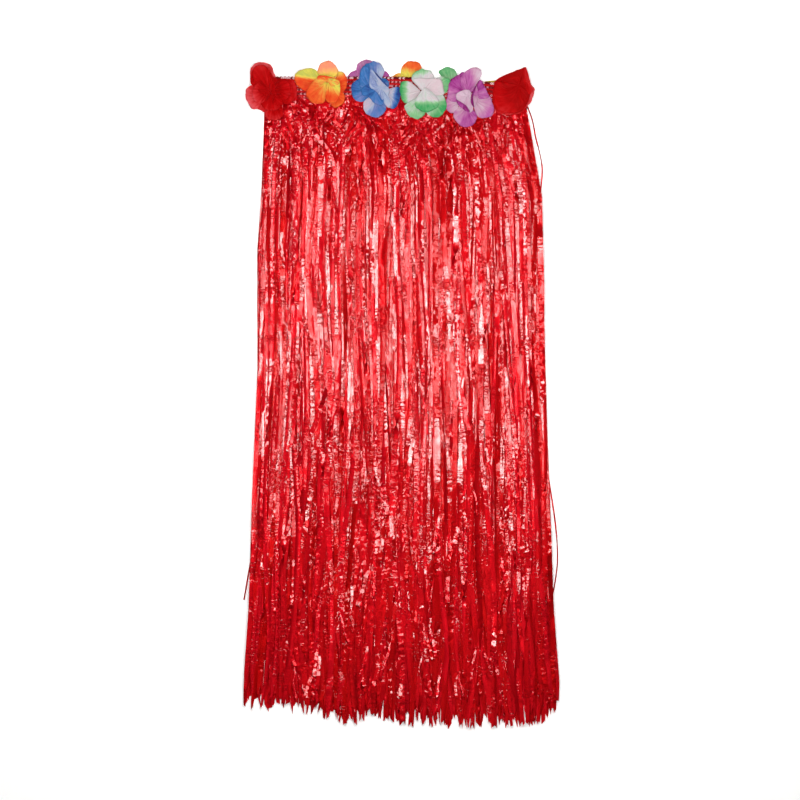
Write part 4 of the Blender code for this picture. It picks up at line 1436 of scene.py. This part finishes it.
def petalGrid(row, number, pleat, rng):
    # rings x rays of points out from the root, with their places on the sheet and in the colours
    root, (rootZ, tipZ, cup), ((fromX, fromY, first), (toX, toY, last)), outline = row
    root = np.array(root, dtype=float)
    bearing = np.unwrap([math.atan2(y - root[1], x - root[0]) for x, y in outline])
    if abs(bearing[-1] - bearing[0]) > petal["roundFrom"]:
        outline = (*outline, outline[0])
    reach = roundOff(outline, petal["rays"]) - root
    length = np.linalg.norm(reach, axis=1)
    phases = rng.uniform(0, 2 * np.pi, 8)
    waves = rng.integers(6, 10)
    ring = (np.arange(petal["rings"] + 1) / petal["rings"]) ** petal["ringSpread"]
    ring, side = np.meshgrid(ring, np.linspace(-1, 1, petal["rays"]), indexing="ij")
    lobes = np.sin(waves * side * 2.2 + phases[0]) + 0.6 * np.sin(waves * side * 5.1 + phases[1])
    plan = root + reach * (ring * (1 + petal["ragged"] * lobes * ring**4))[:, :, None]

    out = ring * length / length.max()
    rise = (rootZ + (tipZ - rootZ) * out ** petal["lateRise"] + cup * side**2 * ring) / 1000
    gathers = sum(
        size * np.sin(count * np.pi * side + phase)
        for (count, size), phase in zip(petal["gathers"], phases[2:])
    )
    rise = rise + pleat * gathers * (1 - ring) ** petal["gatherFade"] * np.minimum(ring * 4, 1)
    rise = rise + petal["ruffle"] * np.sin(waves * 1.3 * side + phases[6]) * ring**4
    lumps = np.sin(0.35 * plan[:, :, 0] + phases[7]) * np.cos(0.31 * plan[:, :, 1] + phases[0])
    rise = rise + petal["lump"] * lumps
    points = np.concatenate([plan / 1000, rise[..., None]], axis=-1)

    way = np.array([toX - fromX, toY - fromY], dtype=float)
    share = smoothStep(((plan - (fromX, fromY)) @ way) / (way @ way))
    shade = np.stack([first + (last - first) * share, ring], axis=-1)
    sheet = np.stack([number + 0.5 + 0.48 * side, ring * length / petal["sheetUnit"]], axis=-1)
    cross = reach[:-1, 0] * reach[1:, 1] - reach[:-1, 1] * reach[1:, 0]
    return points, sheet, shade, abs(cross.sum()) / 2 / 1e6  # the area in square metres


def makePetals(name, rows, look, floor, node, material, rng):
    # one whorl, as one sheet of cloth
    pleat = look.get("pleat", petal["pleat"])
    cuts = [petalGrid(row, number, pleat, rng) for number, row in enumerate(rows)]
    grids, sheets, shades, areas = zip(*cuts)
    points = np.reshape(grids, (-1, 3)) + (middleX + look["across"], worldY(look["drop"]), floor)
    points[:, 2] = np.maximum(points[:, 2], petal["backFloor"])
    index = np.arange(len(points)).reshape(np.shape(grids)[:3])
    maps = {"petal": np.reshape(sheets, (-1, 2)), "shade": np.reshape(shades, (-1, 2))}
    piece = quadMesh(name, points, gridQuads(index), material, maps)
    thicken(piece, petal["wall"], 0.0)
    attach(piece, "root")
    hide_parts(node)


def makeFlowers(materials):
    for order, (name, look) in enumerate(flowers.items()):
        rng = np.random.default_rng(petal["seed"] + order)
        silk = materials[look["silk"]]
        title = "flower" + name[0].upper() + name[1:]
        if "whole" in look:
            makePetals(title, look["whole"], look, petal["backFloor"], look["node"], silk, rng)
            continue
        for part in ("outer", "inner"):
            node = look["node"] + "_" + part
            makePetals(title + part.capitalize(), look[part], look, petal["frontFloor"], node, silk, rng)


# Floor
def makeFloor():
    bpy.ops.mesh.primitive_plane_add(size=studio["floorSize"])
    floor = bpy.context.object
    floor.name = "floor"
    material, tree, shader = newMaterial("paleFloor")
    grain = addNode(tree, "ShaderNodeTexNoise")
    setInputs(grain, {"Scale": 3.0})
    shade = blendColour(tree, grain.outputs["Fac"], studio["floorDark"], studio["floorPale"])
    feed(tree, shade, shader.inputs["Base Color"])
    setInputs(shader, {
        "Roughness": 0.9, "Specular IOR Level": 0.1,
        "Emission Color": (1.0, 1.0, 1.0, 1.0), "Emission Strength": studio["floorGlow"],
    })
    floor.data.materials.append(material)


makeCamera()
makeLights()
makeFloor()
print("camera, light and floor are up")

creaseGroup = makeCreaseGroup()
films = {side: makeFilm("film" + side.capitalize(), creaseGroup, side) for side in film["sides"]}
hung = [makeFringe(name, look, films[look["side"]]) for name, look in layers.items()]
hung.append(makeTangle(films["front"]))
hung.append(makeStrays(films["front"]))
print("fringe is laid")

knit = makeBandCloth(makeKnit())
hung.append(makeChains(makeThread()))
cutBand()
print("waistband is knitted")

veinGroup = makeVeinGroup()
weaveGroup = makeWeaveGroup()
makeFlowers({name: makeSilk(name, look, veinGroup, weaveGroup) for name, look in silks.items()})
print("flowers are sewn on")
